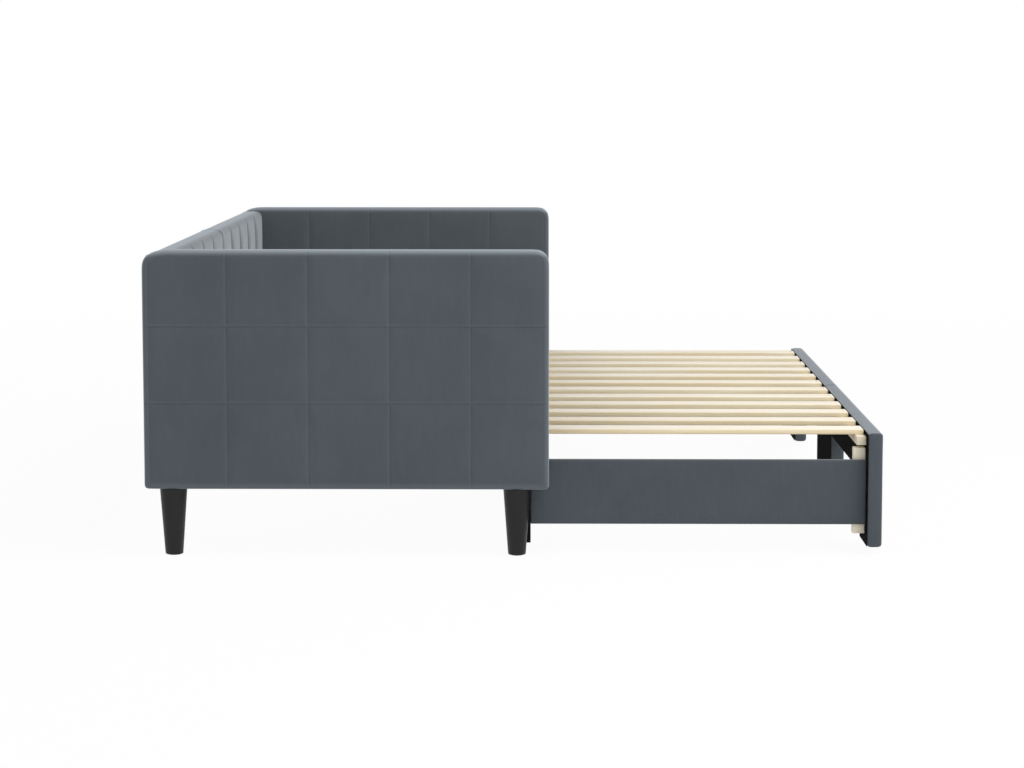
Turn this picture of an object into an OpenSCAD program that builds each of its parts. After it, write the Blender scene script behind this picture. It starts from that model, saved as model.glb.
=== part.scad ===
// Upholstered daybed with a rolling trundle, drawn with the trundle pulled out.
// +X points out of the open front, +Y along the length, +Z up.
// The origin is on the floor, in the middle of the whole outline.
// Left and right are as seen by someone who faces the front.

/* [Daybed] */
// Depth of the daybed, from the front of its arms to their back
bed_depth = 922; // [880:1:980]
// Length of the daybed over both arms
bed_length = 2100; // [2040:1:2200]
// Height of the arms above the floor
arm_height = 700; // [650:1:760]
// Thickness of an arm with its padding
arm_thickness = 34; // [30:1:44]
// Radius of an arm's front upper corner
arm_top_radius = 32; // [12:1:60]
// Radius of an arm's rear upper corner
arm_rear_radius = 54; // [12:1:80]
// Radius of an arm's two lower corners
arm_foot_radius = 10; // [8:1:20]
// Thickness of the backrest with its padding
back_thickness = 63; // [56:1:70]
// How far the backrest's top lies below the arms' top
back_drop = 12; // [0:1:40]
// How far the backrest's outer face lies inside the arms' rear edge
back_inset = 2; // [0:1:10]
// Radius of the backrest's front top edge
back_front_radius = 21; // [8:1:26]
// Radius of the backrest's rear top edge
back_rear_radius = 18; // [8:1:26]
// Thickness of the padding on the backrest's front
back_foam = 30; // [20:1:34]
// Height of the front rail
rail_height = 120; // [110:1:150]
// Thickness of the front rail with its padding
rail_thickness = 34; // [30:1:44]
// How far the rail's face lies behind the front of the arms
rail_setback = 1; // [0:1:8]
// Radius of the rail's four long edges
rail_edge_radius = 12; // [3:1:14]

/* [Boards and fabric] */
// Thickness of the boards inside the arms, the backrest, the rail and the front panel
board_thickness = 18; // [16:1:20]
// Padding between a board's edge and the cover's edge
edge_pad = 4; // [2:1:6]
// Gap between two covers that stand side by side
cover_gap = 1; // [0.4:0.1:3]

/* [Legs] */
// Diameter of a leg at its top
leg_top_diameter = 62.5; // [56:0.5:66]
// Diameter of a leg at the floor
leg_foot_diameter = 41; // [30:0.5:56]
// Height of a leg
leg_height = 154; // [120:1:170]
// How far a leg's top edge lies inside the arm's outer face
leg_side_inset = 0.25; // [0.1:0.05:4]
// How far the front legs' centres lie behind the front of the arms
leg_front_inset = 73; // [70:1:90]
// How far the rear legs' centres lie in front of the arms' rear edge
leg_back_inset = 64; // [50:1:90]
// Chamfer around a leg's foot
leg_foot_chamfer = 2; // [0.5:0.5:4]
// Height of the wooden block above the inner half of a leg
leg_block_height = 60; // [50:1:90]
// Length of that block along the arm
leg_block_length = 64; // [50:1:90]
// Diameter of the steel plate in the leg's top
leg_plate_diameter = 50; // [48:1:52]
// Thickness of that plate
leg_plate_thickness = 3; // [2:0.5:4]
// Gap around the plate in the leg's recess
leg_plate_gap = 0.25; // [0.1:0.05:0.5]
// Metal between the plate's edge and its screws' heads
leg_plate_rim = 1; // [0.5:0.5:4]
// Outer diameter of the plate's threaded bush
leg_bush_diameter = 10; // [10:0.5:11]
// Height of the bush above the plate
leg_bush_height = 12; // [8:1:20]
// How deep the stud sits in the leg
leg_stud_depth = 40; // [25:1:60]

/* [Bed base] */
// Width of a slat
slat_width = 70; // [50:1:90]
// Thickness of a slat
slat_thickness = 12; // [9:1:20]
// Gap between a slat's end and the panel beside it
slat_end_gap = 2; // [1:0.5:5]
// Gap between the outermost slats and the trundle's end boards
slat_side_gap = 28; // [10:1:80]
// Depth of a ledge under the slats' ends
ledge_depth = 22; // [18:1:30]
// Height of the daybed's ledges
bed_ledge_height = 22; // [18:1:30]
// Gap between a ledge's end and the arm or the end board's outer face
ledge_end_gap = 8; // [4:1:40]

/* [Trundle] */
// How far the drawn-out trundle still reaches under the daybed
trundle_overlap = 60; // [20:1:200]
// Height of the front panel's top and of the slats' top above the floor
trundle_height = 280; // [250:1:330]
// Gap between the front panel and the floor
panel_floor_gap = 17; // [15:1:25]
// Thickness of the front panel with its padding
panel_thickness = 34; // [30:1:44]
// Gap between each end of the front panel and the arm beside it
panel_arm_gap = 3; // [2:0.5:8]
// Length of the foot at each end of the front panel
end_foot_length = 153; // [120:1:260]
// Length of the foot in the middle of the front panel
middle_foot_length = 362; // [200:1:420]
// Distance from each end of the middle foot to the middle of the outer castor in it
front_castor_inset = 46; // [40:1:52]
// Height of the two cut-outs in the front panel above the floor
cutout_height = 168; // [110:1:190]
// Thickness of the black lining on the front panel's inner face
lining_thickness = 1; // [0.6:0.1:2]
// Room that is left behind the closed trundle
closing_room = 35; // [34:1:80]
// Room above the slats for the trundle's own mattress
mattress_room = 116; // [80:1:150]
// Gap between the trundle's ends and the legs
leg_room = 4.25; // [3:0.25:12]
// Thickness of an end board with its fabric
end_thickness = 18; // [16:1:26]
// Thickness of the fabric and padding on each face of an end board
end_pad = 3; // [2:0.5:4]
// Height of an end board
end_height = 150; // [110:1:170]
// Gap between an end board and the floor
end_floor_gap = 65; // [50:1:90]
// Gap between the rear board's feet and the floor
rear_foot_gap = 22; // [18:1:34]
// Gap between the rear board's lower edge and the floor
rear_floor_gap = 65; // [50:1:90]
// Length of the foot at each end of the rear board's halves
rear_foot_length = 46; // [44:1:60]
// Height of the trundle's ledges
trundle_ledge_height = 20; // [16:1:28]
// Width of the square corner posts
corner_post_width = 28; // [20:1:36]
// Gap between the front corner posts and the floor
corner_post_gap = 42; // [30:1:60]
// Gap between the corner posts' tops and the ledges
post_ledge_gap = 7; // [2:1:20]

/* [Castors] */
// Radius of a wheel
wheel_radius = 13; // [12:0.5:13]
// Width of a wheel
wheel_width = 16; // [12:0.5:20]
// Radius of the steel pin that a wheel turns on
axle_radius = 3; // [2:0.25:4]
// Running clearance between the pin and the wheel
axle_clearance = 0.05; // [0.03:0.01:0.1]
// Gap around a wheel in its bracket
wheel_gap = 1; // [0.5:0.1:2]
// Thickness of the bracket's cheeks and back
bracket_wall = 3; // [2:0.5:4]
// Length of the flange beside each cheek that a screw goes through
bracket_flange = 10; // [8:0.5:12]
// Reach of the cheeks in front of and behind the pin
cheek_reach = 8; // [6:0.5:9]
// Gap between the front panel's pocket and the bracket in it
pocket_gap = 0.5; // [0.2:0.1:1]
// Fabric that stays in front of and behind a pocket
pocket_skin = 1; // [0.6:0.1:2]
// Height of the rear brackets' upright back
rear_bracket_height = 50; // [44:1:60]

/* [Steel fittings] */
// Thickness of the brackets and joining plates
steel_thickness = 3; // [2:0.5:5]
// Length of both legs of a corner bracket
corner_leg = 40; // [36:1:50]
// Height of the rear corner brackets
rear_corner_height = 120; // [80:1:160]
// Gap between the backrest's lower edge and the rear corner brackets
rear_corner_gap = 20; // [10:1:40]
// Distance from a corner to the bolts through a bracket's legs
corner_bolt_inset = 25; // [22:1:28]
// Height of the front corner brackets
front_corner_height = 66; // [50:1:70]
// Length of the joining plates
plate_length = 160; // [120:1:200]
// Width of the joining plates
plate_width = 40; // [30:1:50]
// Gap between the backrest's lower edge and its lower joining plate
back_plate_gap = 20; // [10:1:40]
// Distance between the backrest's two joining plates
back_plate_pitch = 100; // [80:1:110]
// Gap between the top of the cut-outs and the trundle's joining plates
trundle_plate_gap = 16; // [8:1:24]
// Radius of a bolt's shank
bolt_radius = 4; // [3:0.5:5]
// Radius of a bolt's head
bolt_head_radius = 7; // [6:0.5:8]
// Height of a bolt's head
bolt_head_height = 4; // [3:0.5:5]
// Length of a bolt in the board
bolt_bite = 13; // [10:0.5:15]
// Radius of a wood screw's shank
screw_radius = 2; // [1.5:0.25:2.5]
// Radius of a wood screw's head
screw_head_radius = 3.5; // [3:0.25:4]
// Height of a wood screw's head
screw_head_height = 2; // [1:0.25:2.5]
// Length of a wood screw in the second piece of wood
screw_bite = 12; // [8:0.5:13]

/* [Hidden] */
$fn = 48;
overcut = 1;
left = -1;
right = 1;
// Slats in the daybed and in the trundle: NODES names each of the trundle's
slat_count = 12;

// How far the trundle is drawn out
pull_out = bed_depth - back_inset - back_thickness - closing_room - trundle_overlap;

// Places along the depth
bed_back_x = -(bed_depth + pull_out) / 2;
bed_front_x = bed_back_x + bed_depth;
back_outer_x = bed_back_x + back_inset;
back_inner_x = back_outer_x + back_thickness;
rail_outer_x = bed_front_x - rail_setback;
rail_inner_x = rail_outer_x - rail_thickness;
leg_front_x = bed_front_x - leg_front_inset;
leg_back_x = bed_back_x + leg_back_inset;
panel_outer_x = bed_front_x + pull_out;
panel_inner_x = panel_outer_x - panel_thickness;
lining_x = panel_inner_x - lining_thickness;
rear_outer_x = back_inner_x + closing_room + pull_out;
rear_inner_x = rear_outer_x + board_thickness;
post_middle_xs = [rear_inner_x + corner_post_width / 2, lining_x - corner_post_width / 2];
front_castor_x = panel_inner_x + panel_thickness / 2;
rear_castor_x = rear_outer_x - bracket_wall - wheel_gap - wheel_radius;

// Places along the length, on the side of +Y
arm_outer_y = bed_length / 2;
arm_inner_y = arm_outer_y - arm_thickness;
half_start_y = cover_gap / 2;
half_end_y = arm_inner_y - cover_gap / 2;
leg_y = arm_outer_y - leg_side_inset - leg_top_diameter / 2;
leg_inner_y = leg_y - leg_top_diameter / 2;
block_inner_y = leg_inner_y + leg_side_inset;
panel_end_y = arm_inner_y - panel_arm_gap;
cutout_start_y = middle_foot_length / 2;
cutout_end_y = panel_end_y - end_foot_length;
end_outer_y = leg_inner_y - leg_room;
end_inner_y = end_outer_y - end_thickness;
post_inner_y = end_inner_y - corner_post_width;
post_middle_y = end_inner_y - corner_post_width / 2;
slat_pitch = (2 * (end_inner_y - slat_side_gap) - slat_width) / (slat_count - 1);
front_castor_y = cutout_start_y - front_castor_inset;
rear_castor_y = end_outer_y - rear_foot_length / 2;
ledge_half = end_outer_y - ledge_end_gap;

// Heights
back_top_z = arm_height - back_drop;
back_low_z = leg_height + leg_block_height;
trundle_slat_z = trundle_height - slat_thickness;
trundle_ledge_z = trundle_slat_z - trundle_ledge_height;
post_top_z = trundle_ledge_z - post_ledge_gap;
rail_z = trundle_height + mattress_room;
bed_slat_z = rail_z + bed_ledge_height;
front_corner_z = bed_slat_z + slat_thickness + slat_end_gap;
rear_corner_z = back_low_z + rear_corner_gap;
back_plate_z = back_low_z + back_plate_gap;
back_plate_middle_z = back_plate_z + plate_width / 2;
trundle_plate_z = cutout_height + trundle_plate_gap;
end_middle_z = end_floor_gap + end_height / 2;
pocket_z = 2 * wheel_radius + wheel_gap + bracket_wall;
cheek_z = wheel_radius - cheek_reach;

// Fit of the pieces
arm_pad = (arm_thickness - board_thickness) / 2;
rail_pad = (rail_thickness - board_thickness) / 2;
panel_pad = (panel_thickness - board_thickness) / 2;
pocket_half_x = panel_thickness / 2 - pocket_skin;
cheek_y = wheel_width / 2 + wheel_gap;
bracket_y = cheek_y + bracket_wall + bracket_flange;
flange_screw_y = cheek_y + bracket_wall + bracket_flange / 2;
leg_recess_diameter = leg_plate_diameter + 2 * leg_plate_gap;
plate_screw_radius = leg_plate_diameter / 2 - screw_head_radius - leg_plate_rim;
plate_bolt_places = [-3 / 8, -1 / 8, 1 / 8, 3 / 8];
ledge_screw_places = [for (i = [-5:2:5]) i * ledge_half / 6];
slat_numbers = [0:slat_count - 1];
wheel_chamfer = 1;

// ---- Helpers ----

// A block between two opposite corners
module block(low, high) {
    translate(low) cube(high - low);
}

// What rounding takes off the corner at the origin of a plate that lies towards +X and +Y
module corner_waste(radius) {
    difference() {
        translate([-overcut, -overcut]) square(radius + overcut);
        translate([radius, radius]) circle(radius);
    }
}

// A slab along Y whose outline in X and Z has four radii: low back, low front, top front, top back
module slab(low, high, radii) {
    translate([0, high.y, 0])
        rotate([90, 0, 0])
            linear_extrude(high.y - low.y)
                difference() {
                    translate([low.x, low.z]) square([high.x - low.x, high.z - low.z]);
                    translate([low.x, low.z]) corner_waste(radii[0]);
                    translate([high.x, low.z]) rotate(90) corner_waste(radii[1]);
                    translate([high.x, high.z]) rotate(180) corner_waste(radii[2]);
                    translate([low.x, high.z]) rotate(270) corner_waste(radii[3]);
                }
}

// Puts what is drawn on the side of +Y on the given side
module on_side(side) {
    if (side == right) {
        children();
    } else {
        mirror([0, 1, 0]) children();
    }
}

module on_both_sides() {
    on_side(left) children();
    on_side(right) children();
}

// A bolt whose head sits on the plane z = 0 and whose shank goes down
module bolt(length) {
    cylinder(r = bolt_head_radius, h = bolt_head_height);
    translate([0, 0, -length]) cylinder(r = bolt_radius, h = length);
}

// A wood screw whose head ends flush with the plane z = 0
module screw(length) {
    translate([0, 0, -screw_head_height]) cylinder(r = screw_head_radius, h = screw_head_height);
    translate([0, 0, -length]) cylinder(r = screw_radius, h = length - screw_head_height);
}

// The same fixings with their shank towards +X, -X or +Y
module towards_front() {
    rotate([0, -90, 0]) children();
}

module towards_back() {
    rotate([0, 90, 0]) children();
}

module outwards() {
    rotate([90, 0, 0]) children();
}

module upwards() {
    rotate([180, 0, 0]) children();
}

// ---- Places of the daybed's fixings ----

module at_leg(x) {
    translate([x, leg_y, leg_height]) children();
}

module at_both_legs() {
    at_leg(leg_front_x) children();
    at_leg(leg_back_x) children();
}

// The inner corner between the backrest and the right arm
module at_rear_corner() {
    translate([back_inner_x, arm_inner_y, rear_corner_z]) children();
}

// The inner corner between the rail and the right arm
module at_front_corner() {
    translate([rail_inner_x, arm_inner_y, front_corner_z]) mirror([1, 0, 0]) children();
}

// Bolts of one corner bracket: into the arm, and into the piece across it
module corner_bolts(height, across_pad) {
    for (z = [height / 4, height * 3 / 4]) {
        translate([corner_bolt_inset, -steel_thickness, z])
            outwards() bolt(steel_thickness + arm_pad + bolt_bite);
        translate([steel_thickness, -corner_bolt_inset, z])
            towards_back() bolt(steel_thickness + across_pad + bolt_bite);
    }
}

module rear_corner_bolts() {
    at_rear_corner() corner_bolts(rear_corner_height, back_foam);
}

module front_corner_bolts() {
    at_front_corner() corner_bolts(front_corner_height, rail_pad);
}

module back_plate_bolts() {
    for (level = [0, back_plate_pitch], place = plate_bolt_places)
        translate([back_inner_x + steel_thickness, place * plate_length, back_plate_middle_z + level])
            towards_back() bolt(steel_thickness + back_foam + bolt_bite);
}

// Screws of a leg's plate: one into the arm's board, two into the block
module leg_plate_screws() {
    for (angle = [90, 210, 330])
        rotate(angle)
            translate([plate_screw_radius, 0, -leg_plate_thickness])
                upwards() screw(leg_plate_thickness + edge_pad + screw_bite);
}

module leg_block_screws() {
    for (side = [-1, 1])
        translate([side * leg_block_length / 3, block_inner_y - leg_y, leg_block_height * 2 / 3])
            outwards() screw(arm_inner_y - block_inner_y + arm_pad + screw_bite);
}

module leg_bush_space() {
    cylinder(d = leg_bush_diameter, h = leg_bush_height);
}

module bed_ledge_screws() {
    for (y = ledge_screw_places) {
        translate([back_inner_x + ledge_depth, y, rail_z + bed_ledge_height / 2])
            towards_back() screw(ledge_depth + back_foam + screw_bite);
        translate([rail_inner_x - ledge_depth, y, rail_z + bed_ledge_height / 2])
            towards_front() screw(ledge_depth + rail_pad + screw_bite);
    }
}

// Middle of each slat along the length
function slat_y(number) = (number - (slat_count - 1) / 2) * slat_pitch;

// Screws through both ends of one slat into the ledges under it
module slat_screws(low_x, high_x, y, top_z) {
    for (x = [low_x + ledge_depth / 2, high_x - ledge_depth / 2])
        translate([x, y, top_z]) screw(slat_thickness + screw_bite);
}

module bed_slat_screws() {
    for (number = slat_numbers)
        slat_screws(back_inner_x, rail_inner_x, slat_y(number), bed_slat_z + slat_thickness);
}

// ---- Places of the trundle's fixings ----

module trundle_slat_screws() {
    for (number = slat_numbers)
        slat_screws(rear_inner_x, lining_x, slat_y(number), trundle_height);
}

module trundle_ledge_screws() {
    for (y = ledge_screw_places) {
        translate([rear_inner_x + ledge_depth, y, trundle_ledge_z + trundle_ledge_height / 2])
            towards_back() screw(ledge_depth + screw_bite);
        translate([lining_x - ledge_depth, y, trundle_ledge_z + trundle_ledge_height / 2])
            towards_front() screw(ledge_depth + lining_thickness + panel_pad + screw_bite);
    }
}

// Screws from the corner posts into the end boards
module post_end_screws() {
    on_both_sides()
        for (x = post_middle_xs, step = [-1, 1])
            translate([x, post_inner_y, end_middle_z + step * end_height / 4])
                outwards() screw(corner_post_width + end_thickness - end_pad - screw_head_height);
}

// Screws from the corner posts into the front panel and the rear board
module post_panel_screws() {
    on_both_sides()
        for (step = [-1, 1])
            translate([0, post_middle_y, end_middle_z + step * end_height / 8]) {
                translate([rear_inner_x + corner_post_width, 0, 0])
                    towards_back() screw(corner_post_width + screw_bite);
                translate([lining_x - corner_post_width, 0, 0])
                    towards_front() screw(corner_post_width + lining_thickness + panel_pad + screw_bite);
            }
}

module trundle_plate_screws() {
    for (place = plate_bolt_places)
        translate([0, place * plate_length, trundle_plate_z + plate_width / 2]) {
            translate([rear_outer_x - steel_thickness, 0, 0])
                towards_front() screw(steel_thickness + screw_bite);
            translate([lining_x - steel_thickness, 0, 0])
                towards_front() screw(steel_thickness + lining_thickness + panel_pad + screw_bite);
        }
}

module at_front_castors() {
    for (y = [-front_castor_y, 0, front_castor_y]) translate([front_castor_x, y, 0]) children();
}

module at_rear_castors() {
    for (y = [-rear_castor_y, 0, rear_castor_y]) translate([rear_castor_x, y, 0]) children();
}

module front_castor_screws() {
    at_front_castors()
        for (side = [-1, 1])
            translate([0, side * flange_screw_y, pocket_z - bracket_wall])
                upwards() screw(bracket_wall + pocket_gap + screw_bite);
}

module rear_castor_screws() {
    low_z = rear_foot_gap + 2 * screw_head_radius;
    high_z = cheek_z + rear_bracket_height - 2 * screw_head_radius;
    at_rear_castors()
        for (side = [-1, 1], z = [low_z, high_z])
            translate([wheel_radius + wheel_gap, side * flange_screw_y, z])
                towards_front() screw(bracket_wall + screw_bite);
}

// The pin of one castor, from the outside of one cheek to the outside of the other
module axle() {
    translate([0, cheek_y + bracket_wall, wheel_radius])
        rotate([90, 0, 0]) cylinder(r = axle_radius, h = 2 * (cheek_y + bracket_wall));
}

// ---- Daybed ----

module arm_board_body() {
    slab(
        [bed_back_x + edge_pad, arm_inner_y + arm_pad, leg_height + edge_pad],
        [bed_front_x - edge_pad, arm_outer_y - arm_pad, arm_height - edge_pad],
        [
            arm_foot_radius - edge_pad, arm_foot_radius - edge_pad,
            arm_top_radius - edge_pad, arm_rear_radius - edge_pad
        ]
    );
}

module arm_fixings() {
    rear_corner_bolts();
    front_corner_bolts();
    at_both_legs() {
        leg_plate_screws();
        leg_block_screws();
    }
}

module arm_board(side) {
    color("tan")
        on_side(side)
            difference() {
                arm_board_body();
                arm_fixings();
            }
}

module arm_cover(side) {
    color("#54595e")
        on_side(side)
            difference() {
                slab(
                    [bed_back_x, arm_inner_y, leg_height],
                    [bed_front_x, arm_outer_y, arm_height],
                    [arm_foot_radius, arm_foot_radius, arm_top_radius, arm_rear_radius]
                );
                arm_board_body();
                arm_fixings();
                at_both_legs() leg_bush_space();
            }
}

module back_board_body() {
    block(
        [back_inner_x - back_foam - board_thickness, half_start_y, back_low_z + edge_pad],
        [back_inner_x - back_foam, half_end_y - edge_pad, back_top_z - edge_pad]
    );
}

module back_fixings() {
    rear_corner_bolts();
    back_plate_bolts();
    bed_ledge_screws();
}

module back_board(side) {
    color("tan")
        on_side(side)
            difference() {
                back_board_body();
                back_fixings();
            }
}

module back_cover(side) {
    color("#5d636a")
        on_side(side)
            difference() {
                slab(
                    [back_outer_x, half_start_y, back_low_z],
                    [back_inner_x, half_end_y, back_top_z],
                    [edge_pad, edge_pad, back_front_radius, back_rear_radius]
                );
                back_board_body();
                back_fixings();
            }
}

module rail_board_body() {
    block(
        [rail_inner_x + rail_pad, -half_end_y + edge_pad, rail_z + edge_pad],
        [rail_outer_x - rail_pad, half_end_y - edge_pad, rail_z + rail_height - edge_pad]
    );
}

module rail_fixings() {
    on_both_sides() front_corner_bolts();
    bed_ledge_screws();
}

module rail_board() {
    color("tan")
        difference() {
            rail_board_body();
            rail_fixings();
        }
}

module rail_cover() {
    color("#54595e")
        difference() {
            slab(
                [rail_inner_x, -half_end_y, rail_z],
                [rail_outer_x, half_end_y, rail_z + rail_height],
                [edge_pad, rail_edge_radius, rail_edge_radius, edge_pad]
            );
            rail_board_body();
            rail_fixings();
        }
}

module bed_ledge(low_x) {
    color("wheat")
        difference() {
            block([low_x, -ledge_half, rail_z], [low_x + ledge_depth, ledge_half, bed_slat_z]);
            bed_ledge_screws();
            bed_slat_screws();
        }
}

module bed_slats() {
    color("wheat")
        difference() {
            for (number = slat_numbers)
                translate([back_inner_x + slat_end_gap, slat_y(number) - slat_width / 2, bed_slat_z])
                    cube([rail_inner_x - back_inner_x - 2 * slat_end_gap, slat_width, slat_thickness]);
            bed_slat_screws();
        }
}

module leg_stud() {
    translate([0, 0, -leg_stud_depth]) cylinder(r = bolt_radius, h = leg_stud_depth + leg_bush_height);
}

// The tapered body with its chamfered foot on the floor
module leg_cone() {
    cylinder(d1 = leg_foot_diameter - 2 * leg_foot_chamfer, d2 = leg_foot_diameter, h = leg_foot_chamfer);
    translate([0, 0, leg_foot_chamfer])
        cylinder(d1 = leg_foot_diameter, d2 = leg_top_diameter, h = leg_height - leg_foot_chamfer);
}

module leg(side, x) {
    color("#2c2c2e")
        on_side(side)
            at_leg(x)
                difference() {
                    translate([0, 0, -leg_height]) leg_cone();
                    translate([0, 0, -leg_plate_thickness])
                        cylinder(d = leg_recess_diameter, h = leg_plate_thickness + overcut);
                    leg_stud();
                }
}

module leg_blocks() {
    color("burlywood")
        on_both_sides()
            at_both_legs()
                difference() {
                    block(
                        [-leg_block_length / 2, block_inner_y - leg_y, 0],
                        [leg_block_length / 2, arm_inner_y - leg_y, leg_block_height]
                    );
                    leg_plate_screws();
                    leg_block_screws();
                    leg_bush_space();
                }
}

module leg_plates() {
    color("silver")
        on_both_sides()
            at_both_legs()
                difference() {
                    union() {
                        translate([0, 0, -leg_plate_thickness])
                            cylinder(d = leg_plate_diameter, h = leg_plate_thickness);
                        leg_bush_space();
                    }
                    leg_plate_screws();
                    leg_stud();
                }
}

module leg_studs() {
    color("gray") on_both_sides() at_both_legs() leg_stud();
}

// One angle with its corner at the origin, its legs along +X and -Y
module corner_bracket(height) {
    block([0, -steel_thickness, 0], [corner_leg, 0, height]);
    block([0, -corner_leg, 0], [steel_thickness, 0, height]);
}

module corner_brackets() {
    color("silver")
        on_both_sides() {
            difference() {
                at_rear_corner() corner_bracket(rear_corner_height);
                rear_corner_bolts();
            }
            difference() {
                at_front_corner() corner_bracket(front_corner_height);
                front_corner_bolts();
            }
        }
}

module back_joining_plates() {
    color("silver")
        difference() {
            for (level = [0, back_plate_pitch])
                translate([back_inner_x, -plate_length / 2, back_plate_z + level])
                    cube([steel_thickness, plate_length, plate_width]);
            back_plate_bolts();
        }
}

module bed_bolts() {
    color("gray") {
        on_both_sides() {
            rear_corner_bolts();
            front_corner_bolts();
        }
        back_plate_bolts();
    }
}

module bed_screws() {
    color("goldenrod") {
        bed_ledge_screws();
        bed_slat_screws();
        on_both_sides()
            at_both_legs() {
                leg_plate_screws();
                leg_block_screws();
            }
    }
}

// ---- Trundle ----

// One half of the front panel, between two planes along the depth, smaller by an edge all round
module front_half(low_x, high_x, edge) {
    difference() {
        block(
            [low_x, half_start_y, panel_floor_gap + edge],
            [high_x, panel_end_y - edge, trundle_height - edge]
        );
        block(
            [low_x - overcut, cutout_start_y - edge, 0],
            [high_x + overcut, cutout_end_y + edge, cutout_height + edge]
        );
    }
}

// The pockets that the front castors sit in
module castor_pockets() {
    at_front_castors()
        block(
            [-pocket_half_x, -bracket_y - pocket_gap, 0],
            [pocket_half_x, bracket_y + pocket_gap, pocket_z]
        );
}

module front_fixings() {
    trundle_ledge_screws();
    trundle_plate_screws();
    post_panel_screws();
    front_castor_screws();
}

module trundle_front_board_body() {
    front_half(panel_inner_x + panel_pad, panel_outer_x - panel_pad, edge_pad);
}

module trundle_front_board(side) {
    color("tan")
        on_side(side)
            difference() {
                trundle_front_board_body();
                castor_pockets();
                front_fixings();
            }
}

module trundle_front_cover(side) {
    color("#54595e")
        on_side(side)
            difference() {
                front_half(panel_inner_x, panel_outer_x, 0);
                trundle_front_board_body();
                castor_pockets();
                front_fixings();
            }
}

module trundle_front_lining() {
    color("#1c1c1e")
        on_both_sides()
            difference() {
                front_half(lining_x, panel_inner_x, edge_pad / 2);
                front_fixings();
            }
}

module trundle_end_board_body() {
    block(
        [rear_inner_x + end_pad, end_inner_y + end_pad, end_floor_gap + end_pad],
        [lining_x - end_pad, end_outer_y - end_pad, end_floor_gap + end_height - end_pad]
    );
}

module trundle_end_board(side) {
    color("tan")
        on_side(side)
            difference() {
                trundle_end_board_body();
                post_end_screws();
            }
}

module trundle_end_cover(side) {
    color("#50565b")
        on_side(side)
            difference() {
                block(
                    [rear_inner_x, end_inner_y, end_floor_gap],
                    [lining_x, end_outer_y, end_floor_gap + end_height]
                );
                trundle_end_board_body();
                post_end_screws();
            }
}

module trundle_back_board(side) {
    color("#1c1c1e")
        on_side(side)
            difference() {
                block(
                    [rear_outer_x, half_start_y, rear_foot_gap],
                    [rear_inner_x, end_outer_y, trundle_height]
                );
                block(
                    [rear_outer_x - overcut, rear_foot_length, 0],
                    [rear_inner_x + overcut, end_outer_y - rear_foot_length, rear_floor_gap]
                );
                trundle_ledge_screws();
                trundle_plate_screws();
                post_panel_screws();
                rear_castor_screws();
            }
}

module trundle_ledge(low_x) {
    color("wheat")
        difference() {
            block(
                [low_x, -ledge_half, trundle_ledge_z],
                [low_x + ledge_depth, ledge_half, trundle_slat_z]
            );
            trundle_ledge_screws();
            trundle_slat_screws();
        }
}

// A corner post on the side of +Y, between its lower end and the ledges
module corner_post(low_x, low_z) {
    block([low_x, post_inner_y, low_z], [low_x + corner_post_width, end_inner_y, post_top_z]);
}

// The front posts reach below the end boards, the rear ones end level with them
module trundle_corner_posts() {
    color("wheat")
        difference() {
            on_both_sides() {
                corner_post(rear_inner_x, end_floor_gap);
                corner_post(lining_x - corner_post_width, corner_post_gap);
            }
            post_end_screws();
            post_panel_screws();
        }
}

module trundle_joining_plates() {
    color("#303033")
        difference() {
            for (x = [rear_outer_x - steel_thickness, lining_x - steel_thickness])
                translate([x, -plate_length / 2, trundle_plate_z])
                    cube([steel_thickness, plate_length, plate_width]);
            trundle_plate_screws();
        }
}

// One of the trundle's slats, counted from 1 at the left
module trundle_slat(number) {
    y = slat_y(number - 1);
    color("wheat")
        difference() {
            translate([rear_inner_x + slat_end_gap, y - slat_width / 2, trundle_slat_z])
                cube([lining_x - rear_inner_x - 2 * slat_end_gap, slat_width, slat_thickness]);
            slat_screws(rear_inner_x, lining_x, y, trundle_height);
        }
}

// The two cheeks that hold a pin, from the given place behind it to the given place in front
module cheeks(low_x, high_x, top_z) {
    for (side = [-1, 1])
        translate([low_x, side * (cheek_y + bracket_wall / 2) - bracket_wall / 2, cheek_z])
            cube([high_x - low_x, bracket_wall, top_z - cheek_z]);
}

module front_castor_bracket() {
    cheeks(-cheek_reach, cheek_reach, pocket_z);
    block(
        [-pocket_half_x + pocket_gap, -bracket_y, pocket_z - bracket_wall],
        [pocket_half_x - pocket_gap, bracket_y, pocket_z]
    );
}

module rear_castor_bracket() {
    back_x = wheel_radius + wheel_gap;
    cheeks(-cheek_reach, back_x + bracket_wall, pocket_z);
    block(
        [back_x, -bracket_y, cheek_z],
        [back_x + bracket_wall, bracket_y, cheek_z + rear_bracket_height]
    );
}

module castor_brackets() {
    color("#303033")
        difference() {
            union() {
                at_front_castors() front_castor_bracket();
                at_rear_castors() rear_castor_bracket();
            }
            at_front_castors() axle();
            at_rear_castors() axle();
            front_castor_screws();
            rear_castor_screws();
        }
}

module castor_axles() {
    color("silver") {
        at_front_castors() axle();
        at_rear_castors() axle();
    }
}

module wheel(x, y) {
    color("#262628")
        translate([x, y + wheel_width / 2, wheel_radius])
            rotate([90, 0, 0])
                rotate_extrude()
                    polygon([
                        [axle_radius + axle_clearance, 0],
                        [wheel_radius - wheel_chamfer, 0],
                        [wheel_radius, wheel_chamfer],
                        [wheel_radius, wheel_width - wheel_chamfer],
                        [wheel_radius - wheel_chamfer, wheel_width],
                        [axle_radius + axle_clearance, wheel_width]
                    ]);
}

module trundle_screws() {
    color("goldenrod") {
        trundle_ledge_screws();
        trundle_slat_screws();
        post_end_screws();
        post_panel_screws();
        trundle_plate_screws();
        front_castor_screws();
        rear_castor_screws();
    }
}

// ---- Nodes ----

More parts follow.
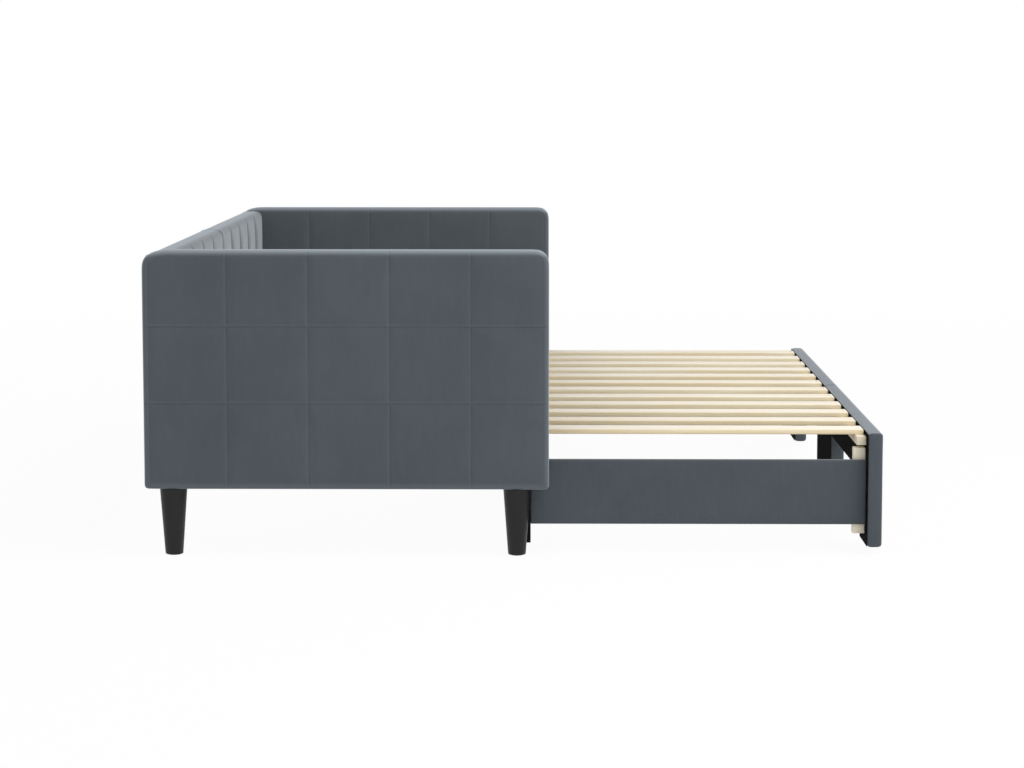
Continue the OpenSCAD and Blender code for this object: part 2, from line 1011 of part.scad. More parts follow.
arm_board(left);  // arm_left_board
arm_cover(left);  // arm_left_cover
arm_board(right);  // arm_right_board
arm_cover(right);  // arm_right_cover
back_board(left);  // back_left_board
back_cover(left);  // back_left_cover
back_board(right);  // back_right_board
back_cover(right);  // back_right_cover
rail_board();
rail_cover();
bed_ledge(rail_inner_x - ledge_depth);  // bed_ledge_front
bed_ledge(back_inner_x);  // bed_ledge_back
bed_slats();
leg(left, leg_front_x);  // leg_front_left
leg(right, leg_front_x);  // leg_front_right
leg(left, leg_back_x);  // leg_back_left
leg(right, leg_back_x);  // leg_back_right
leg_blocks();
leg_plates();
leg_studs();
corner_brackets();
back_joining_plates();
bed_bolts();
bed_screws();
trundle_front_board(left);  // trundle_front_left_board
trundle_front_cover(left);  // trundle_front_left_cover
trundle_front_board(right);  // trundle_front_right_board
trundle_front_cover(right);  // trundle_front_right_cover
trundle_front_lining();
trundle_end_board(left);  // trundle_end_left_board
trundle_end_cover(left);  // trundle_end_left_cover
trundle_end_board(right);  // trundle_end_right_board
trundle_end_cover(right);  // trundle_end_right_cover
trundle_back_board(left);  // trundle_back_left_board
trundle_back_board(right);  // trundle_back_right_board
trundle_ledge(lining_x - ledge_depth);  // trundle_ledge_front
trundle_ledge(rear_inner_x);  // trundle_ledge_back
trundle_corner_posts();
trundle_joining_plates();
castor_brackets();
castor_axles();
trundle_screws();
trundle_slat(1);  // trundle_slat_1
trundle_slat(2);  // trundle_slat_2
trundle_slat(3);  // trundle_slat_3
trundle_slat(4);  // trundle_slat_4
trundle_slat(5);  // trundle_slat_5
trundle_slat(6);  // trundle_slat_6
trundle_slat(7);  // trundle_slat_7
trundle_slat(8);  // trundle_slat_8
trundle_slat(9);  // trundle_slat_9
trundle_slat(10);  // trundle_slat_10
trundle_slat(11);  // trundle_slat_11
trundle_slat(12);  // trundle_slat_12
wheel(front_castor_x, -front_castor_y);  // wheel_front_left
wheel(front_castor_x, 0);  // wheel_front_middle
wheel(front_castor_x, front_castor_y);  // wheel_front_right
wheel(rear_castor_x, -rear_castor_y);  // wheel_back_left
wheel(rear_castor_x, 0);  // wheel_back_middle
wheel(rear_castor_x, rear_castor_y);  // wheel_back_right
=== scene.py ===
# Daybed with a drawn-out trundle: padded velvet covers, slats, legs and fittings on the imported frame
import math

import bmesh
import bpy
from mathutils import Matrix, Vector, noise
from mathutils.bvhtree import BVHTree


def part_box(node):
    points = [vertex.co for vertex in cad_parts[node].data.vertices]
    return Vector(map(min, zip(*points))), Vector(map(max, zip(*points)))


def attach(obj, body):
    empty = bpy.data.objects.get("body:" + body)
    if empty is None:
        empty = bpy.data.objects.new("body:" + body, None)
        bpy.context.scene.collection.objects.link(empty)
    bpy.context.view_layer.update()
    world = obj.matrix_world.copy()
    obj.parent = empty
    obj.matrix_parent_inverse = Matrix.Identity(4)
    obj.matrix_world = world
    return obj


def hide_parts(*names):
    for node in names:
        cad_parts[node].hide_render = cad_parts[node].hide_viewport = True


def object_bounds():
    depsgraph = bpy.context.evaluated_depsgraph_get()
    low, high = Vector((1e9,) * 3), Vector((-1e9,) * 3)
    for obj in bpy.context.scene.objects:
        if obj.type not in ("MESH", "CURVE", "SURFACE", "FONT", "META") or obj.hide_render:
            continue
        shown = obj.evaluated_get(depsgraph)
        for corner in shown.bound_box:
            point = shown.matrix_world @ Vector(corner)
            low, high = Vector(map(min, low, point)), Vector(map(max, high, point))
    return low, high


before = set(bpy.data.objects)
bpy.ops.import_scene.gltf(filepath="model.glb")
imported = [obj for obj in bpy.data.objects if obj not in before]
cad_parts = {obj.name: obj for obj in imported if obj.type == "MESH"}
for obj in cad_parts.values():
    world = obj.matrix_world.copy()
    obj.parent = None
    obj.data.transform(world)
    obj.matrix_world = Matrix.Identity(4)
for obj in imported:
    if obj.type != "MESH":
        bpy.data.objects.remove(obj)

mm = 0.001
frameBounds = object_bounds()
scene = bpy.context.scene


# short ways to build shader trees and geometry trees
def feed(tree, socket, value):
    # links another node's socket or sets a plain value; a colour may come without its alpha
    if isinstance(value, bpy.types.NodeSocket):
        tree.links.new(value, socket)
    elif socket.type == "RGBA" and len(value) == 3:
        socket.default_value = (*value, 1.0)
    else:
        socket.default_value = value


def addNode(tree, kind, inputs=(), **settings):
    node = tree.nodes.new(kind)
    for key, value in settings.items():
        setattr(node, key, value)
    for key, value in dict(inputs).items():
        feed(tree, node.inputs[key], value)
    return node


def mathNode(tree, operation, first, second=0.0):
    return addNode(tree, "ShaderNodeMath", {0: first, 1: second}, operation=operation).outputs[0]


def vector(tree, **parts):
    return addNode(tree, "ShaderNodeCombineXYZ", parts).outputs[0]


def addVectors(tree, first, second):
    return addNode(tree, "ShaderNodeVectorMath", {0: first, 1: second}, operation="ADD").outputs[0]


def attribute(tree, name):
    return addNode(tree, "ShaderNodeAttribute", attribute_name=name).outputs["Fac"]


def objectPattern(tree, scale=(1, 1, 1)):
    where = addNode(tree, "ShaderNodeTexCoord").outputs["Object"]
    return addNode(tree, "ShaderNodeMapping", {"Vector": where, "Scale": scale}).outputs[0]


def cloud(tree, where, size, detail=2.0, roughness=0.5, distortion=0.0):
    # noise whose patches are about as wide as the given size
    return addNode(tree, "ShaderNodeTexNoise", {
        "Vector": where, "Scale": 1 / size, "Detail": detail, "Roughness": roughness,
        "Distortion": distortion,
    }).outputs["Fac"]


def speckles(tree, where, scale, randomness=1.0):
    return addNode(tree, "ShaderNodeTexVoronoi", {
        "Vector": where, "Scale": scale, "Randomness": randomness,
    }).outputs


def stretch(tree, value, span=(0.3, 0.7), onto=(0.0, 1.0)):
    # maps one range of values onto another; most of a cloud lies between 0.3 and 0.7
    return addNode(tree, "ShaderNodeMapRange", {
        "Value": value, "From Min": span[0], "From Max": span[1], "To Min": onto[0], "To Max": onto[1],
    }).outputs[0]


def blendColours(tree, factor, first, second, mode="MIX"):
    inputs = {0: factor, 6: first, 7: second}
    return addNode(tree, "ShaderNodeMix", inputs, data_type="RGBA", blend_type=mode).outputs[2]


def relief(tree, height, distance, strength=1.0, onto=None):
    inputs = {"Height": height, "Distance": distance, "Strength": strength}
    if onto:
        inputs["Normal"] = onto
    return addNode(tree, "ShaderNodeBump", inputs).outputs[0]


def newMaterial(name, roughness, metallic=0.0, **sockets):
    material = bpy.data.materials.new(name)
    material.use_nodes = True
    shader = material.node_tree.nodes["Principled BSDF"]
    for key, value in {"Roughness": roughness, "Metallic": metallic, **sockets}.items():
        shader.inputs[key.replace("_", " ")].default_value = value
    return material, material.node_tree


def painted(material, colour, normal, roughness=None):
    # the material with its colour, its bump and, where it varies, its roughness
    shader = material.node_tree.nodes["Principled BSDF"]
    for key, value in (("Base Color", colour), ("Roughness", roughness), ("Normal", normal)):
        if value is not None:
            material.node_tree.links.new(value, shader.inputs[key])
    return material


# finishes: what would be changed is in the dictionary above each one
velvetLook = {
    "deep": (0.067, 0.079, 0.092),      # pile brushed towards the light
    "light": (0.079, 0.092, 0.106),     # pile brushed away from it
    "paintedHighlight": (0.292, 0.330, 0.370),    # painted highlight: the lit look of edges, seam folds and grazed faces, mixed in where the painted-sheen attribute is 1
    "brushSize": 0.22,
    "streakSize": 0.012,
    "streakLength": 0.25,               # scale along the height: the smaller, the longer the streaks
    "pileSize": 0.0077,
    "fibreSize": 0.0011,
    "roughness": (0.72, 0.92),
    "sheen": 1.0,
    "sheenRoughness": 0.34,
    "sheenTint": (0.86, 0.93, 1.0, 1),
}


def velvetMaterial(look):
    material, tree = newMaterial(
        "velvet", 0.8, Specular_IOR_Level=0.25, Sheen_Weight=look["sheen"],
        Sheen_Roughness=look["sheenRoughness"], Sheen_Tint=look["sheenTint"],
    )
    where = objectPattern(tree)
    brushed = stretch(tree, cloud(tree, where, look["brushSize"], 3.0, 0.55, 0.4))
    streaks = cloud(tree, objectPattern(tree, (1, 1, look["streakLength"])), look["streakSize"])
    tone = mathNode(tree, "ADD", brushed, stretch(tree, streaks, onto=(-0.2, 0.2)))
    colour = blendColours(tree, tone, look["deep"], look["light"])
    # painted highlight: the colour turns towards the painted highlight colour as the painted-sheen attribute
    # rises
    colour = blendColours(tree, attribute(tree, "nap"), colour, look["paintedHighlight"])
    fibres = cloud(tree, where, look["fibreSize"])
    pile = cloud(tree, where, look["pileSize"])
    normal = relief(tree, fibres, 0.4 * mm, 0.5, relief(tree, pile, 0.6 * mm, 0.25))
    return painted(material, colour, normal, stretch(tree, fibres, onto=look["roughness"]))


threadLook = {"colour": (0.085, 0.098, 0.11), "dark": (0.051, 0.0588, 0.066), "plySize": 0.0006}


def threadMaterial(look):
    material, tree = newMaterial("thread", 0.6, Sheen_Weight=0.3)
    plies = cloud(tree, objectPattern(tree), look["plySize"], 1.0)
    colour = blendColours(tree, plies, look["dark"], look["colour"])
    return painted(material, colour, relief(tree, plies, 0.2 * mm, 0.6))


pineLook = {
    "early": (0.92, 0.875, 0.785),      # pale wood between the rings
    "late": (0.78, 0.67, 0.50),         # darker ring
    "sawn": (1.0, 0.95, 0.785),         # painted shade: the tint that makes the slats' sides darker and warmer than their tops
    "patch": (0.78, 0.63, 0.43),        # broad darker places
    "knot": (0.32, 0.20, 0.10),
    "ringSize": 0.0242,
    "patchSize": 0.09,
    "poreSize": 0.0012,
    "knotScale": 9.0,
    "grainStretch": 0.035,
    "ownGrain": (7.0, 3.0),             # how far the grain of toned pine moves from slat to slat, in x and z
    "roughness": (0.45, 0.65),
    "shares": {"ring": 0.6, "pore": 0.28, "patch": 0.25, "tone": 0.22, "knot": 0.75},
}
ledgePineLook = {**pineLook, "early": (0.84, 0.77, 0.64)}
# painted light: the posts' and leg blocks' pine is paler than the slats' so that the shaded corner posts
# look lit
paintedLightPostPineLook = {
    **pineLook, "early": (1.0, 0.93, 0.79), "late": (0.98, 0.87, 0.68), "patch": (0.96, 0.86, 0.68),
}


def pineMaterial(name, look, along, toned=False):
    # long grain along one axis, with rings, fine pores and a few knots; toned pine differs from slat to slat
    material, tree = newMaterial(name, 0.55, Specular_IOR_Level=0.35)
    where = objectPattern(tree, [look["grainStretch"] if axis == along else 1 for axis in "xyz"])
    if toned:
        tone = attribute(tree, "tone")
        x, z = (mathNode(tree, "MULTIPLY", tone, distance) for distance in look["ownGrain"])
        where = addVectors(tree, where, vector(tree, X=x, Z=z))
    rings = cloud(tree, where, look["ringSize"], 3.0, 0.6, 1.2)
    pores = cloud(tree, where, look["poreSize"], 2.0, 0.6)
    patches = cloud(tree, where, look["patchSize"], 1.0)
    knots = speckles(tree, where, look["knotScale"])["Distance"]

    def blended(colour, value, span, kind, newColour):
        share = stretch(tree, value, span, (0.0, look["shares"][kind]))
        return blendColours(tree, share, colour, look[newColour])

    colour = blended(look["early"], rings, (0.42, 0.62), "ring", "late")
    colour = blended(colour, pores, (0.55, 0.75), "pore", "late")
    colour = blended(colour, patches, (0.35, 0.65), "patch", "patch")
    if toned:
        colour = blended(colour, tone, (0.0, 1.0), "tone", "late")
        # painted shade: faces that don't face upwards are tinted by the side shade colour
        facing = addNode(tree, "ShaderNodeNewGeometry").outputs["Normal"]
        upwards = addNode(tree, "ShaderNodeSeparateXYZ", {0: facing}).outputs["Z"]
        side = stretch(tree, mathNode(tree, "ABSOLUTE", upwards), (0.85, 0.35))
        colour = blendColours(tree, side, colour, look["sawn"], "MULTIPLY")
    colour = blended(colour, knots, (0.035, 0.012), "knot", "knot")
    normal = relief(tree, pores, 0.3 * mm, 0.4, relief(tree, rings, 0.6 * mm, 0.25))
    return painted(material, colour, normal, stretch(tree, pores, onto=look["roughness"]))


chipboardLook = {
    "dark": (0.42, 0.28, 0.15), "pale": (0.66, 0.50, 0.31), "chips": (1, 2.2, 1), "scale": 240.0,
}


def chipboardMaterial(look):
    material, tree = newMaterial("chipboard", 0.8)
    chips = speckles(tree, objectPattern(tree, look["chips"]), look["scale"])
    colour = blendColours(tree, chips["Color"], look["dark"], look["pale"])
    return painted(material, colour, relief(tree, chips["Distance"], 0.6 * mm, 0.5))


liningLook = {
    "dark": (0.0018, 0.0018, 0.002), "pale": (0.0045, 0.0045, 0.005), "dotScale": 420.0, "fibreSize": 0.004,
}


def liningMaterial(look):
    # black spun-bonded fabric with its pattern of small pressed dots
    material, tree = newMaterial("lining", 0.95, Specular_IOR_Level=0.03)
    where = objectPattern(tree)
    dots = speckles(tree, where, look["dotScale"], 0.15)["Distance"]
    fibres = cloud(tree, where, look["fibreSize"], 4.0, 0.7)
    colour = blendColours(tree, stretch(tree, fibres), look["dark"], look["pale"])
    return painted(material, colour, relief(tree, dots, 0.4 * mm, 0.5, relief(tree, fibres, 0.3 * mm, 0.5)))


blackBoardLook = {
    "dark": (0.004, 0.004, 0.0045), "worn": (0.009, 0.009, 0.010), "grainSize": 0.002, "grainStretch": 0.06,
    "wearSize": 0.07, "roughness": (0.42, 0.6),
}


def blackBoardMaterial(look):
    # melamine face with a fine pressed grain
    material, tree = newMaterial("blackBoard", 0.6, Specular_IOR_Level=0.08)
    grain = cloud(tree, objectPattern(tree, (1, look["grainStretch"], 1)), look["grainSize"], 3.0, 0.6)
    wear = cloud(tree, objectPattern(tree), look["wearSize"], 4.0, 0.6)
    colour = blendColours(tree, stretch(tree, wear, (0.4, 0.7)), look["dark"], look["worn"])
    roughness = stretch(tree, wear, onto=look["roughness"])
    return painted(material, colour, relief(tree, grain, 0.2 * mm, 0.5), roughness)


plasticLooks = {
    "legPlastic": {"colour": (0.007, 0.007, 0.0073), "roughness": 0.42, "grainSize": 0.0009},
    "wheelPlastic": {"colour": (0.016, 0.016, 0.017), "roughness": 0.45, "grainSize": 0.0006},
}
plasticWear = {"size": 0.03, "lighter": 1.35, "smoother": 0.06, "rougher": 0.08}


def wornFinish(tree, where, look, wear, changed):
    # the colour and the roughness of a finish with worn places
    places = cloud(tree, where, wear["size"], 4.0, 0.6)
    worn = tuple(wear[changed] * part for part in look["colour"])
    span = (look["roughness"] - wear["smoother"], look["roughness"] + wear["rougher"])
    colour = blendColours(tree, stretch(tree, places, (0.35, 0.75)), look["colour"], worn)
    return colour, stretch(tree, places, onto=span)


def plasticMaterial(name, look, wear):
    # moulded plastic with a fine spark-eroded grain and faint rubbed places
    material, tree = newMaterial(name, look["roughness"], Specular_IOR_Level=0.3)
    where = objectPattern(tree)
    colour, roughness = wornFinish(tree, where, look, wear, "lighter")
    grain = cloud(tree, where, look["grainSize"])
    return painted(material, colour, relief(tree, grain, 0.2 * mm, 0.25), roughness)


steelLooks = {
    "zincSteel": {"colour": (0.62, 0.63, 0.64), "roughness": 0.36, "metallic": 1.0},
    "yellowSteel": {"colour": (0.66, 0.55, 0.33), "roughness": 0.32, "metallic": 1.0},
    "blackSteel": {"colour": (0.022, 0.022, 0.024), "roughness": 0.42, "metallic": 0.6},
}
steelWear = {
    "size": 0.02, "duller": 0.72, "smoother": 0.08, "rougher": 0.12,
    "crystalScale": 130.0, "crystalShare": 0.12, "grainSize": 0.0015,
}


def steelMaterial(name, look, wear):
    # plated steel with small crystals and stains
    material, tree = newMaterial(name, look["roughness"], look["metallic"])
    where = objectPattern(tree)
    crystals = speckles(tree, where, wear["crystalScale"])["Color"]
    colour, roughness = wornFinish(tree, where, look, wear, "duller")
    colour = blendColours(tree, wear["crystalShare"], colour, crystals, "SOFT_LIGHT")
    grain = cloud(tree, where, wear["grainSize"])
    return painted(material, colour, relief(tree, grain, 0.1 * mm, 0.3), roughness)


velvet = velvetMaterial(velvetLook)
thread = threadMaterial(threadLook)
slatPine = pineMaterial("slatPine", pineLook, "x", toned=True)
ledgePine = pineMaterial("ledgePine", ledgePineLook, "y")
# painted light: a paler copy of the pine for the posts
paintedLightPostPine = pineMaterial("paintedLightPostPine", paintedLightPostPineLook, "z")
chipboard = chipboardMaterial(chipboardLook)
lining = liningMaterial(liningLook)
blackBoard = blackBoardMaterial(blackBoardLook)
legPlastic, wheelPlastic = (plasticMaterial(*item, plasticWear) for item in plasticLooks.items())
zincSteel, yellowSteel, blackSteel = (steelMaterial(*item, steelWear) for item in steelLooks.items())
print("materials:", len(bpy.data.materials))


# shape tools that several pieces share
def pieceName(node):
    # leg_front_left becomes legFrontLeft
    first, *others = node.split("_")
    return first + "".join(word.capitalize() for word in others)


def newPiece(name, mesh, material=None, smooth=True):
    piece = bpy.data.objects.new(name, mesh)
    scene.collection.objects.link(piece)
    if material:
        mesh.materials.clear()
        mesh.materials.append(material)
    if smooth:
        mesh.shade_smooth()
    return piece


def meshFrom(name, build):
    body = bmesh.new()
    build(body)
    bmesh.ops.remove_doubles(body, verts=body.verts, dist=0.02 * mm)
    bmesh.ops.recalc_face_normals(body, faces=body.faces)
    mesh = bpy.data.meshes.new(name)
    body.to_mesh(mesh)
    body.free()
    return mesh


def finishedMesh(piece):
    # the piece's mesh with its modifiers applied
    return bpy.data.meshes.new_from_object(piece.evaluated_get(bpy.context.evaluated_depsgraph_get()))


def settle(piece, body, replaced=()):
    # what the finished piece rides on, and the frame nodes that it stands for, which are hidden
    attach(piece, body)
    if replaced:
        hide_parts(*replaced)


def mirrored(piece, name):
    # the same piece for the other side of the bed
    mesh = piece.data.copy()
    mesh.transform(Matrix.Scale(-1, 4, (0, 1, 0)))
    mesh.flip_normals()
    return newPiece(name, mesh, smooth=False)


def islandBoxes(node):
    # the low and high corners and the points of each separate solid in a frame node
    body = bmesh.new()
    body.from_mesh(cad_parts[node].data)
    bmesh.ops.remove_doubles(body, verts=body.verts, dist=0.001 * mm)
    seen, boxes = set(), []
    for first in body.verts:
        if first in seen:
            continue
        seen.add(first)
        group, front = [first], [first]
        while front:
            vertex = front.pop()
            for edge in vertex.link_edges:
                other = edge.other_vert(vertex)
                if other not in seen:
                    seen.add(other)
                    group.append(other)
                    front.append(other)
        low = Vector([min(v.co[k] for v in group) for k in range(3)])
        high = Vector([max(v.co[k] for v in group) for k in range(3)])
        boxes.append((low, high, [v.co.copy() for v in group]))
    body.free()
    return boxes


def smoothStep(value):
    value = min(max(value, 0.0), 1.0)
    return value * value * (3 - 2 * value)


def bell(away, width):
    return math.exp(-((away / width) ** 2))


# A padded panel lies in its own u, v plane, with w across its thickness. Its two faces are grids whose lines
# gather at seams and at the rounded edges.

def rollPlaces(roll):
    # grid lines across a rounded edge of that radius, counted from its outer side
    steps = 5
    return [roll * (1 - math.cos(math.pi / 2 * step / steps)) for step in range(steps + 1)]


def gridLines(length, rolls, seams, seamOffsets, pitch, gap=0.7 * mm):
    marks = [0.0, length, *seams]       # the first ones count most where two lie closer than the gap
    marks += rollPlaces(rolls[0])[1:]
    marks += [length - place for place in rollPlaces(rolls[1])[1:]]
    for offset in seamOffsets:
        for seam in seams:
            marks += [seam - offset, seam + offset]
    kept = []
    for mark in marks:
        if all(abs(mark - other) > gap for other in kept):
            kept.append(mark)
    kept.sort()
    lines = []
    for start, end in zip(kept, kept[1:]):
        parts = max(1, math.ceil((end - start) / pitch))
        lines += [start + (end - start) * part / parts for part in range(parts)]
    return lines + [length]


def withMarks(line, marks, gap=0.9 * mm):
    # the grid lines with these marks among them, and no other line closer than the gap to one
    kept = [place for place in line if min(abs(place - mark) for mark in marks) > gap]
    return sorted({*kept, *marks, line[0], line[-1]})


def rollHeight(depth, roll, half):
    # height over the middle plane, that far inside a rounded edge
    if depth >= roll:
        return half
    return half - roll + math.sqrt(roll ** 2 - (roll - depth) ** 2)


def intoCorner(du, dv, size, radius):
    # moves a point of a square corner so that each ring round it turns with its own radius
    a, b = size - du, size - dv
    reach = max(a, b)
    if reach <= 0:
        return du, dv, size, 0.5
    angle = math.atan2(b, a)
    c, s = math.cos(angle), math.sin(angle)
    ringRadius = max(radius - (size - reach), 0.0)
    flat = reach - ringRadius
    if s * reach <= flat * c:
        t = reach / c
    elif c * reach <= flat * s:
        t = reach / s
    else:
        along = flat * (c + s)
        t = along + math.sqrt(max(along ** 2 - 2 * flat ** 2 + ringRadius ** 2, 0.0))
    return size - t * c, size - t * s, size - reach, angle / (math.pi / 2)


# how far the fabric is held beside a seam, over a part that stays flat, and in from an edge
held = {"seam": 2 * mm, "rise": 40 * mm, "edge": 3 * mm}


class Panel:
    # u runs along the panel, v upwards, and w along the face axis, out of the front face
    def __init__(self, node, faceAxis, style):
        self.style = style
        self.low, self.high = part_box(node)
        if style["pressed"]:
            self.low.y = 0.0            # pressed against the other half in the middle of the bed
        self.faceAxis = "xyz".index(faceAxis)
        self.uAxis = 1 - self.faceAxis
        self.length = self.high[self.uAxis] - self.low[self.uAxis]
        self.height = self.high.z - self.low.z
        self.half = (self.high[self.faceAxis] - self.low[self.faceAxis]) / 2 - style["inset"]
        self.middle = (self.high[self.faceAxis] + self.low[self.faceAxis]) / 2

    def place(self, u, v, w):
        point = Vector((0, 0, self.low.z + v))
        point[self.uAxis] = self.low[self.uAxis] + u
        point[self.faceAxis] = self.middle + w
        return point

    def uSeams(self, face):
        own = self.style["backSeams"] if face == "back" else None
        return own or self.style["uSeams"]

    def fromSeams(self, u, v, face):
        # how far a point is from each seam of that face
        if face not in self.style["seamFaces"]:
            return []
        upright = [abs(u - seam) for seam in self.uSeams(face)]
        return upright + [abs(v - seam) for seam in self.style["vSeams"]]

    def foldShare(self, u, v, face):
        # the folded seam allowance shows as a low ridge along one side of each seam: 1 on its crest
        style = self.style
        if not style["fold"] or face not in style["seamFaces"]:
            return 0.0
        marks = [(seam - u, style["foldUpright"]) for seam in self.uSeams(face)]
        marks += [(v - seam, 1.0) for seam in style["vSeams"]]
        return max(share * bell(mark - style["foldAway"], style["seamWidth"]) for mark, share in marks)

    def seamDepth(self, u, v, depth, face):
        # how far the cover is drawn in at a point by the seams of that face
        style = self.style
        soft = style["pillowShare"]
        deepest = 0.0
        for away in self.fromSeams(u, v, face):
            sharp, wide = bell(away, style["seamWidth"]), math.exp(-away / style["pillowWidth"])
            deepest = max(deepest, style["seamDepth"] * ((1 - soft) * sharp + soft * wide))
        if style["border"]:
            groove = style["borderDepth"] * smoothStep((v - style["border"]) / style["border"])
            deepest = max(deepest, groove * bell(depth - style["border"], style["seamWidth"]))
        deepest -= style["fold"] * self.foldShare(u, v, face)
        return deepest * smoothStep(depth / style["seamFade"])

    def corners(self):
        # corner points, the way inwards, the corner's radius, size and flatness, and its two sides
        style, length, height = self.style, self.length, self.height
        bottom = (style["corner"]["bottom"], style["cornerSize"], 1.0)
        top = (style["corner"]["top"], style["cornerSize"], 1.0)
        found = [
            (0.0, 0.0, 1, 1, *bottom, "start", "bottom"),
            (length, 0.0, -1, 1, *bottom, "end", "bottom"),
            (length, height, -1, -1, *top, "end", "top"),
            (0.0, height, 1, -1, *(style["startTopCorner"] or top), "start", "top"),
        ]
        if style["cutout"]:
            first, last, _ = style["cutout"]
            found.append((first, 0.0, -1, 1, *bottom, "cutout", "bottom"))
            found.append((last, 0.0, 1, 1, *bottom, "cutout", "bottom"))
        return found

    def point(self, u, v, face):
        # where a point of the flat grid ends up on the padded face, and how far inside the outline it is
        style = self.style
        rolls = style["roll"] if face == "front" else style["backRoll"]
        height = None
        for cu, cv, wayU, wayV, radius, size, flatness, sideU, sideV in self.corners():
            du, dv = (u - cu) * wayU * flatness, (v - cv) * wayV
            if 0 <= du <= size and 0 <= dv <= size:
                du, dv, depth, turn = intoCorner(du, dv, size, radius)
                u, v = cu + du * wayU / flatness, cv + dv * wayV
                slope = turn * math.pi / 2
                depth /= math.hypot(flatness * math.cos(slope), math.sin(slope))
                roll = rolls[sideU] + (rolls[sideV] - rolls[sideU]) * smoothStep(turn)
                height = rollHeight(depth, roll, self.half)
                break
        if height is None:
            depths = {"start": u, "end": self.length - u, "bottom": v, "top": self.height - v}
            if style["cutout"]:
                first, last, top = style["cutout"]
                depths["cutout"] = math.hypot(max(first - u, u - last, 0.0), max(v - top, 0.0))
            depth = min(depths.values())
            height = min(rollHeight(depths[side], rolls[side], self.half) for side in depths)
        return u, v, height - self.seamDepth(u, v, depth, face), depth

    def grid(self):
        # the grid lines in u and in v
        style, roll = self.style, self.style["roll"]
        bothSeams = [*self.uSeams("front"), *self.uSeams("back")]
        lines = []
        for length, rolls, seams in (
            (self.length, (roll["start"], roll["end"]), bothSeams),
            (self.height, (roll["bottom"], roll["top"]), style["vSeams"]),
        ):
            line = gridLines(length, rolls, seams, style["seamOffsets"], style["pitch"])
            if style["border"]:
                near = [style["border"] + offset for offset in style["borderOffsets"]]
                line = withMarks(line, near + [length - mark for mark in near])
            lines.append(line)
        if style["cutout"]:
            first, last, top = style["cutout"]
            steps = rollPlaces(roll["cutout"])
            sides = [first - step for step in steps] + [last + step for step in steps]
            lines[0] = withMarks(lines[0], sides)
            lines[1] = withMarks(lines[1], [top + step for step in steps])
        return lines

    def hole(self, u, v, margin=0.0):
        if not self.style["cutout"]:
            return False
        first, last, top = self.style["cutout"]
        return first + margin < u < last - margin and v < top - margin

    def build(self, name):
        uLines, vLines = self.grid()
        self.pins = []

        def draw(body):
            grids = {}
            # share of painted highlight at each vertex
            nap = body.verts.layers.float.new("nap")
            for face, way in (("front", 1), ("back", -1)):
                grids[face] = {}
                for i, u in enumerate(uLines):
                    for j, v in enumerate(vLines):
                        if self.hole(u, v, 0.001 * mm):
                            continue
                        pu, pv, height, depth = self.point(u, v, face)
                        vertex = body.verts.new(self.place(pu, pv, way * height))
                        vertex[nap] = self.napAt(u, pv, depth, face)
                        grids[face][i, j] = vertex
                        self.pins.append((vertex.co.copy(), self.pinWeight(pu, pv, depth, face)))
            cells = [
                (i, j) for i in range(len(uLines) - 1) for j in range(len(vLines) - 1)
                if not self.hole((uLines[i] + uLines[i + 1]) / 2, (vLines[j] + vLines[j + 1]) / 2)
            ]
            for i, j in cells:
                around = [(i, j), (i + 1, j), (i + 1, j + 1), (i, j + 1)]
                for face in ("front", "back"):
                    body.faces.new([grids[face][key] for key in around])
            self.closeSides(body, grids, set(cells), nap)

        return newPiece(name, meshFrom(name, draw), velvet)

    def closeSides(self, body, grids, cells, nap):
        # walls between the two faces, round the outline
        steps = 3
        sides = {
            (0, -1): ((0, 0), (1, 0)), (1, 0): ((1, 0), (1, 1)),
            (0, 1): ((1, 1), (0, 1)), (-1, 0): ((0, 1), (0, 0)),
        }
        for i, j in cells:
            for (di, dj), ends in sides.items():
                if (i + di, j + dj) in cells:
                    continue
                keys = [(i + a, j + b) for a, b in ends]
                # the walls carry the front face's painted highlight share
                paintedHighlight = grids["front"][keys[0]][nap]
                columns = []
                for key in keys:
                    front, back = grids["front"][key].co, grids["back"][key].co
                    columns.append([front.lerp(back, step / steps) for step in range(steps + 1)])
                near, far = columns
                for step in range(steps):
                    if (near[step] - near[step + 1]).length > 0.01 * mm:
                        corners = (near[step], far[step], far[step + 1], near[step + 1])
                        made = [body.verts.new(corner) for corner in corners]
                        for vertex in made:
                            vertex[nap] = paintedHighlight
                        body.faces.new(made)

    def napAt(self, u, v, depth, face):
        # how much painted highlight goes into the velvet's colour: on the faces, on seam folds, and along
        # the sides and the upper edge
        style, border = self.style, self.style["border"]
        if not border:
            upper = smoothStep((v - self.height) / style["roll"]["top"] + 1)
            return style["nap"] + (style["topPaintedSheen"] - style["nap"]) * upper
        if depth > border:
            return style["nap"] + style["foldPaintedSheen"] * self.foldShare(u, v, face)
        upper = smoothStep((v - self.height + 1.5 * border) / border)
        near = (1 - depth / border) ** 1.5
        edge = style["sidePaintedSheen"] + (style["topPaintedSheen"] - style["sidePaintedSheen"]) * upper
        return style["nap"] + (edge - style["nap"]) * (0.25 + 0.75 * near)

    def pinWeight(self, u, v, depth, face):
        # 1 where the fabric is stitched down or wraps an edge, 0 where the padding may swell
        style, low = self.style, self.style["flatBelow"]
        if face not in style["softFaces"] or v < low:
            return 1.0
        away = self.fromSeams(u, v, face)
        if style["border"]:
            away.append(abs(depth - style["border"]))
        if away and min(away) < held["seam"]:
            return 1.0
        firm = 1.0 - smoothStep((v - low) / held["rise"]) if low else 0.0
        return max(firm, 1.0 - smoothStep((depth - held["edge"]) / style["roll"]["top"]))

    def uneven(self, piece):
